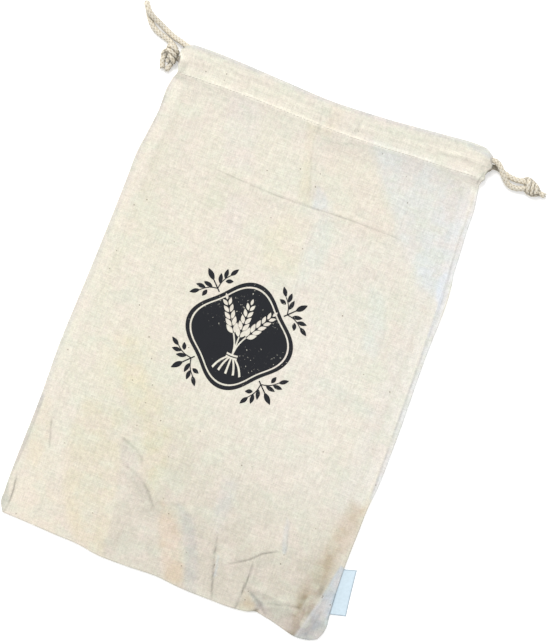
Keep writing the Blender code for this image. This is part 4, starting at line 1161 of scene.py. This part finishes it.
# The whole cloth as one closed sheet. The front's outside is fine and the rest coarse, and
# round the seams and the bottom a chain of points between them bulges out a little.
def makeCloth():
    step = bag["coarse"]
    stations = columnPlaces(bag["columns"])
    front, frontSeam = frontSurface(stations)
    back, backSeam = backSurface(front, frontSeam)
    frontOut, frontIn = bothSides(front)
    frontIn = frontIn[::step, ::step].copy()
    backOut, backIn = bothSides(back)
    innerSeam = frontSeam // step
    for surface, rows, end in ((frontIn, slice(innerSeam, None), -1), (backIn, slice(None, backSeam + 1), 0)):
        surface[rows, 0, 0] += bag["thick"]
        surface[rows, -1, 0] -= bag["thick"]
        surface[end, :, 1] += bag["thick"]
    surfaces = (frontOut, frontIn, backOut, backIn)
    points = [surface.reshape(-1, 3) for surface in surfaces]
    starts = np.cumsum([0] + [len(side) for side in points])
    grids = [start + np.arange(len(side)).reshape(surface.shape[:2])
             for start, side, surface in zip(starts, points, surfaces)]
    outF, inF, outB, inB = grids
    faces = [face for grid in grids for face in gridFaces(grid)]
    fineF, coarseB = rimChain(outF, frontSeam, True), rimChain(outB, backSeam, False)
    innerF, innerB = rimChain(inF, innerSeam, True), rimChain(inB, backSeam, False)
    edge = points[0][fineF]
    outwards = unit(np.gradient(edge[:, :2], axis=0))[:, ::-1] * (1, -1)
    points.append(np.column_stack([edge[:, :2] + outwards * bag["bulge"], edge[:, 2] * 0.5]))
    chain = np.arange(starts[-1], starts[-1] + len(edge))
    faces += gridFaces(np.stack([fineF, chain]))
    faces += chainFaces(chain, coarseB)
    faces += gridFaces(np.stack([innerF, innerB]))
    for column in (0, -1):
        faces += chainFaces(outF[:frontSeam + 1, column], inF[:innerSeam + 1, column])
        faces += gridFaces(np.stack([outB[backSeam:, column], inB[backSeam:, column]]))
        faces.append([outF[frontSeam, column], chain[column], outB[backSeam, column], inB[backSeam, column],
                      inF[innerSeam, column]])
    faces += chainFaces(outF[0], inF[0])
    faces += gridFaces(np.stack([outB[-1], inB[-1]]))
    placed = np.concatenate(points)
    piece = newPiece("bagCloth", placed, faces, linenCloth)
    setAttribute(piece, "clothTintAndShading", clothTintAndShading(placed))
    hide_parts("bag_cloth")
    return piece


bagCloth = makeCloth()
print("cloth is cut, folded and laid:", len(bagCloth.data.polygons), "faces")


# The label in the right seam
label = dict(
    top=-162.5, bottom=-204.5, tipRise=3.5, topWidth=11.0, bottomWidth=14.0,
    thick=0.5, middle=0.62,             # of the ribbon, and the height that it lies at
    tuckedIn=0.7,                       # how far it goes into the seam
    droop=0.6, droopReach=0.6,          # how far it stands up beside the seam, and over what share of it
    wave=0.16, waves=2.2, firstWave=-0.2, waveAtSeam=0.4,
    grid=(33, 81),                      # points across it and down it
    colour=dyeAndShade(224, 243, 255), edge=dyeAndShade(176, 194, 208), border=(0.3, 0.7),
    rib=0.45, twill=0.7, twillShare=0.6, ribTones=(0.965, 1.015), depth=0.05,
    cloud=0.35, cloudTones=(0.95, 1.03),
)


# Satin ribbon: fine ribs across it, and woven edges that are a little darker
def makeSatin():
    material, tree, shader = newMaterial("whiteSatin", {"Roughness": 0.42, "Specular IOR Level": 0.4})
    where = addNode(tree, "ShaderNodeUVMap", uv_map="wound").outputs[0]
    axes = addNode(tree, "ShaderNodeSeparateXYZ", (where,))
    ribs = wave(tree, axes.outputs[1], label["rib"])
    twill = times(tree, wave(tree, sums(tree, "ADD", *axes.outputs[:2]), label["twill"]), label["twillShare"])
    crest = 1 + label["twillShare"]
    relief = between(tree, sums(tree, "ADD", ribs, twill), -crest, crest)
    colour = mixColour(tree, attribute(tree, "labelEdge"), label["colour"], label["edge"])
    shade = times(tree, between(tree, noise(tree, where, label["cloud"]), 0.3, 0.7, *label["cloudTones"]),
                  between(tree, relief, 0, 1, *label["ribTones"]))
    finishMaterial(tree, shader, toned(tree, colour, shade), relief, label["depth"])
    return material


# The label: a ribbon from the seam, at its middle's height plus its rise by the seam and a wave
def makeLabel():
    across, down = np.meshgrid(*(np.linspace(0, 1, count) for count in label["grid"]))
    long = label["top"] - label["bottom"]
    rootY = label["top"] - long * down
    rootX = curveAt(rightEdge, rootY) + bag["clearance"] - label["tuckedIn"]
    width = label["topWidth"] + (label["bottomWidth"] - label["topWidth"]) * down + label["tuckedIn"]
    droop = label["droop"] * (1 - ease(across / label["droopReach"]))
    ripple = label["wave"] * np.sin(np.pi * (label["waves"] * down + label["firstWave"]))
    height = label["middle"] + droop + ripple * (label["waveAtSeam"] + (1 - label["waveAtSeam"]) * across)
    middle = np.dstack([rootX + width * across, rootY + label["tipRise"] * across, height]).reshape(-1, 3)
    half = (0, 0, label["thick"] / 2)
    index = np.arange(across.size).reshape(across.shape)
    faces = gridFaces(index) + gridFaces(index + index.size)
    for edge in (np.s_[0, :], np.s_[-1, :], np.s_[:, 0], np.s_[:, -1]):
        faces += gridFaces(np.stack([index[edge], index[edge] + index.size]))
    flat = np.tile(np.dstack([across * width, down * long]).reshape(-1, 2), (2, 1))
    piece = newPiece("seamLabel", np.concatenate([middle - half, middle + half]), faces, makeSatin(),
                     uv=flat[np.concatenate(faces)])
    toEdge = np.minimum(np.minimum(down, 1 - down) * long, (1 - across) * width).ravel()
    start, fade = label["border"]
    setAttribute(piece, "labelEdge", np.tile(1 - ease((toEdge - start) / fade), 2))
    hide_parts("side_label")


makeLabel()
print("label is sewn in")


# Thread: fuzzy, in lighter and darker parts
def makeThread():
    material, tree, shader = newMaterial("creamThread", {"Roughness": 0.7, "Specular IOR Level": 0.2})
    fuzz = between(tree, noise(tree, inMillimetres(tree), stitching["fuzz"]), 0.3, 0.7)
    colour = toned(tree, stitching["colour"], between(tree, fuzz, 0, 1, *stitching["fuzzTones"]))
    finishMaterial(tree, shader, colour, fuzz, stitching["depth"])
    return material


# A row of stitches along a line on the cloth: each a thin bead whose height is a half wave,
# so that both its ends go into the cloth
def makeStitches(lineSteps=24):
    x = np.linspace(-stitching["reach"], stitching["reach"], lineSteps)
    perMm = stitching["perMm"]
    flat = smoothLine(np.column_stack([x, curveAt(stitchLine, x), np.zeros(len(x))]), 1 / perMm)[:, :2]
    turn = np.linspace(0, 2 * np.pi, stitching["sides"], endpoint=False)
    t = np.linspace(0, 1, stitching["steps"])
    arch = np.sin(np.pi * t)
    thick = stitching["thick"] * np.sqrt(stitching["tip"] + (1 - stitching["tip"]) * arch)
    index = np.arange(t.size * turn.size).reshape(t.size, turn.size)
    bead = gridFaces(index, ring=True) + [index[0].tolist(), index[-1].tolist()]
    long = stitching["long"] * perMm
    shapes = []
    for start in np.arange(0, len(flat) - long, int(stitching["pitch"] * perMm)).astype(int):
        x, y = flat[(start + t * long).astype(int)].T
        z = frontHeight(x, y) + bag["thick"] / 2 + stitching["lift"] * (2 * arch - 1)
        path = np.column_stack([x, y, z])
        ahead = unit(np.gradient(path, axis=0))
        side = unit(np.cross(ahead, (0, 0, 1.0)))
        rise = np.cross(side, ahead) * stitching["flatness"]
        ring = np.cos(turn)[:, None] * side[:, None] + np.sin(turn)[:, None] * rise[:, None]
        shapes.append(((path[:, None] + ring * thick[:, None, None]).reshape(-1, 3), bead))
    points, faces = joined(shapes)
    return newPiece("casingStitches", points, faces, makeThread())


makeStitches()
print("casing is stitched")


# The print: a field with a sheaf left bare in it, and four sprigs round it
medallion = dict(
    middle=(-8, -1), lift=0.16, sink=0.06,
    radius=45.6, lobes=4.2, steps=220,   # its edge is at radius + lobes cos 4a
    ring=(0.925, 0.892),                 # a bare line inside the edge, as shares of it
    gridStep=4.0, gridReach=68, gridRadius=50, gridClear=0.3,    # points that keep its triangles small
    ink=screenColour(27, 29, 34), wornInk=screenColour(70, 72, 76), weaveShows=0.12, worn=0.8,
    specks=(0.55, 0.66, 0.72), wornParts=(0.03, 0.45, 0.6),      # noise turns per mm, and the noise's ends
)
sheaf = dict(
    tie=(0, -19.0), ears=((0, -2.5), (31, -0.5), (-31, -0.5)),       # an ear's lean and foot
    footLean=0.16,                              # the foot's X for a degree of lean
    earStem=(2, 1.4, 0.05),                     # its reach beyond the foot, width, and bow for a degree
    grains=5, step=6.3, long=9.6, wide=4.5, lean=26, shrink=0.07, apart=0.7, tip=0.62,
    firstGrain=0.3, tipGrain=0.1,               # how far up, in steps, the lowest pair and the tip stand
    stalks=((-13, 1.6), (-7, 0.8), (0, 0), (7, -0.8), (13, -1.6)),   # a stalk's end in X and its bow
    stalkEnd=-35.5, stalkWide=(1.5, 2.1), fan=0.12,
    band=(5.2, 4.4), bandLine=(5.6, 0.9), bandRise=0.2, bandBow=0.5,    # half length and width of each
)
# A sprig points up from the middle: its stem, and on each side a branch with its leaves' foot,
# lean and length
sprig = dict(
    quarters=(45, 135, 225, 315), stem=((0, 43.5), (0, 58), 1.1, 1.1), bud=((0, 55), 0, 12, 5.2),
    branch=(47, 15.5, 52.5, 1.6), branchWide=(1.0, 0.8), leafWide=4.1,
    leaves=((3.5, 50.2, 34, 9.5), (9.5, 52.4, 44, 9), (15.0, 52.6, 78, 9.5), (9.0, 49.8, 116, 7.2)),
)


# A pointed leaf on the flat: t of the way up it, half its width is
# wide / 2 sin(pi t) ** 0.85 (1.08 - 0.3 t)
def leafShape(foot, lean, long, wide, steps=12):
    t = np.linspace(0, 1, steps)
    half = wide / 2 * np.sin(np.pi * t) ** 0.85 * (1.08 - 0.3 * t)
    along = np.concatenate([t, t[-2:0:-1]]) * long
    side = np.concatenate([half, -half[-2:0:-1]])
    c, s = np.cos(np.radians(lean)), np.sin(np.radians(lean))
    return np.column_stack([foot[0] + along * s + side * c, foot[1] + along * c - side * s])


# A strip with a width at each end, along a curve that bows sideways
def strip(start, end, wideStart, wideEnd, bow=0.0, steps=8):
    start, end = np.array(start, float), np.array(end, float)
    t = np.linspace(0, 1, steps)[:, None]
    side = unit(np.array([end[1] - start[1], start[0] - end[0]]))
    line = start + (end - start) * t + side * bow * np.sin(np.pi * t)
    half = (wideStart + (wideEnd - wideStart) * t) / 2
    return np.concatenate([line + side * half, (line - side * half)[::-1]])


def acrossTie(half, wide):
    (x, y), rise = sheaf["tie"], sheaf["bandRise"]
    return strip((x - half, y + rise), (x + half, y + rise), wide, wide, sheaf["bandBow"])


# The sheaf's outlines: its stalks, its ears of grains in pairs, and the band that ties it
def sheafShapes():
    tie = np.array(sheaf["tie"])
    fan = sheaf["fan"]
    shapes = [strip(tie + (x * fan, 0), (x, sheaf["stalkEnd"] + abs(x) * fan), *sheaf["stalkWide"], bow)
              for x, bow in sheaf["stalks"]]
    reach, stemWide, stemBow = sheaf["earStem"]
    for lean, foot in sheaf["ears"]:
        ahead = np.array([np.sin(np.radians(lean)), np.cos(np.radians(lean))])
        aside = np.array([ahead[1], -ahead[0]]) * sheaf["apart"]
        root = np.array([lean * sheaf["footLean"], foot])
        shapes.append(strip(tie, root + ahead * reach, stemWide, stemWide, -lean * stemBow))
        for row in range(sheaf["grains"]):
            grain = root + ahead * sheaf["step"] * (row + sheaf["firstGrain"])
            size = 1 - sheaf["shrink"] * row
            shapes += [leafShape(grain + aside * hand, lean + hand * sheaf["lean"],
                                 sheaf["long"] * size, sheaf["wide"] * size) for hand in (-1, 1)]
        tip = root + ahead * sheaf["step"] * (sheaf["grains"] + sheaf["tipGrain"])
        shapes.append(leafShape(tip, lean, sheaf["long"] * sheaf["tip"], sheaf["wide"] * sheaf["tip"]))
    return shapes + [acrossTie(*sheaf["band"])]


def sprigShapes():
    foot, spread, rise, bow = sprig["branch"]
    shapes = [strip(*sprig["stem"]), leafShape(*sprig["bud"])]
    for hand in (-1, 1):
        shapes.append(strip((0, foot), (hand * spread, rise), *sprig["branchWide"], -hand * bow))
        shapes += [leafShape((hand * x, y), hand * lean, long, sprig["leafWide"])
                   for x, y, lean, long in sprig["leaves"]]
    return shapes


# The print's outlines in the order they are laid, each inked or bare: a four-lobed field
# with three ears tied in a sheaf left bare in it, and a sprig of leaves between the lobes
def printLayers():
    angle = np.linspace(0, 2 * np.pi, medallion["steps"], endpoint=False)
    field = np.column_stack([np.cos(angle), np.sin(angle)])
    field = field * (medallion["radius"] + medallion["lobes"] * np.cos(4 * angle))[:, None]
    lineOut, lineIn = medallion["ring"]
    layers = [(field, True), (field * lineOut, False), (field * lineIn, True)]
    layers += [(shape, False) for shape in sheafShapes()] + [(acrossTie(*sheaf["bandLine"]), True)]
    for quarter in np.radians(sprig["quarters"]):
        c, s = np.cos(quarter), np.sin(quarter)
        layers += [(shape @ np.array([[c, -s], [s, c]]), True) for shape in sprigShapes()]
    return layers


# Slate ink: the weave shows through it, and it is worn down to the cloth in specks
def makeInk():
    material, tree, shader = newMaterial("slateInk", {"Roughness": 0.75, "Specular IOR Level": 0.2})
    where = inMillimetres(tree)
    crossing, streaks = plainWeave(tree, where)
    scale, low, high = medallion["specks"]
    specks = between(tree, noise(tree, where, scale, 3.0), low, high)
    scale, low, high = medallion["wornParts"]
    worn = times(tree, specks, between(tree, noise(tree, where, scale, 1.0), low, high))
    shows = between(tree, crossing, 0, 1, 0, medallion["weaveShows"])
    colour = mixColour(tree, shows, medallion["ink"], medallion["wornInk"])
    colour = mixColour(tree, times(tree, worn, medallion["worn"]), colour, ground)
    finishMaterial(tree, shader, colour, sums(tree, "ADD", crossing, streaks), weave["depth"])
    return material


# The print as a thin closed layer on the cloth: its outlines and a plain grid of points
# are filled with triangles, and those whose middle is inked are kept
def makePrint():
    layers = printLayers()
    flat = np.concatenate([outline for outline, _ in layers])
    starts = np.cumsum([0] + [len(outline) for outline, _ in layers])
    edges = np.concatenate([np.column_stack([np.arange(a, b), np.roll(np.arange(a, b), -1)])
                            for a, b in zip(starts[:-1], starts[1:])])
    step, reach = medallion["gridStep"], medallion["gridReach"]
    places = np.arange(-reach, reach + 0.1, step)
    grid = np.dstack(np.meshgrid(places, places, indexing="ij")).reshape(-1, 2)
    grid = grid[np.hypot(*grid.T) < medallion["gridRadius"]]
    nearest = np.hypot(*(grid[:, None] - flat).transpose(2, 0, 1)).min(axis=1)
    flat = np.concatenate([flat, grid[nearest > step * medallion["gridClear"]]])
    filled = delaunay_2d_cdt([Vector(point) for point in flat], edges.tolist(), [], 0, 1e-4, False)
    corners = np.array([tuple(point) for point in filled[0]])
    triangles = np.array(filled[2])
    middles = corners[triangles].mean(axis=1)
    inked = np.zeros(len(triangles), bool)
    for outline, ink in layers:
        inked[insideOf(outline, *middles.T)] = ink
    used, triangles = np.unique(triangles[inked], return_inverse=True)
    triangles = triangles.reshape(-1, 3)
    x, y = (corners[used] + medallion["middle"]).T
    height = frontHeight(x, y) + bag["thick"] / 2
    top = np.column_stack([x, y, height + medallion["lift"]])
    under = np.column_stack([x, y, height - medallion["sink"]])
    rims = np.concatenate([triangles[:, [0, 1]], triangles[:, [1, 2]], triangles[:, [2, 0]]])
    ways, counts = np.unique(np.sort(rims, axis=1), axis=0, return_counts=True)
    a, b = ways[counts == 1].T
    count = len(used)
    faces = triangles.tolist() + (triangles[:, ::-1] + count).tolist()
    faces += np.column_stack([a, b, b + count, a + count]).tolist()
    piece = newPiece("sheafPrint", np.concatenate([top, under]), faces, makeInk())
    piece.data.shade_flat()
    return piece


sheafPrint = makePrint()
print("print is laid:", len(sheafPrint.data.polygons), "faces")


# The table's top, in metres, a little below the bag, with the glow that keeps it pale
tableTop = dict(size=40, drop=0.0003, grey=0.85, glow=0.34)


def makeTable():
    bpy.ops.mesh.primitive_plane_add(size=tableTop["size"], location=(0, 0, -tableTop["drop"]))
    table = bpy.context.object
    table.name = "table"
    grey = tableTop["grey"]
    values = {"Base Color": (grey, grey, grey, 1), "Roughness": 0.9,
              "Emission Color": (1, 1, 1, 1), "Emission Strength": tableTop["glow"]}
    table.data.materials.append(newMaterial("paleTable", values)[0])


makeTable()
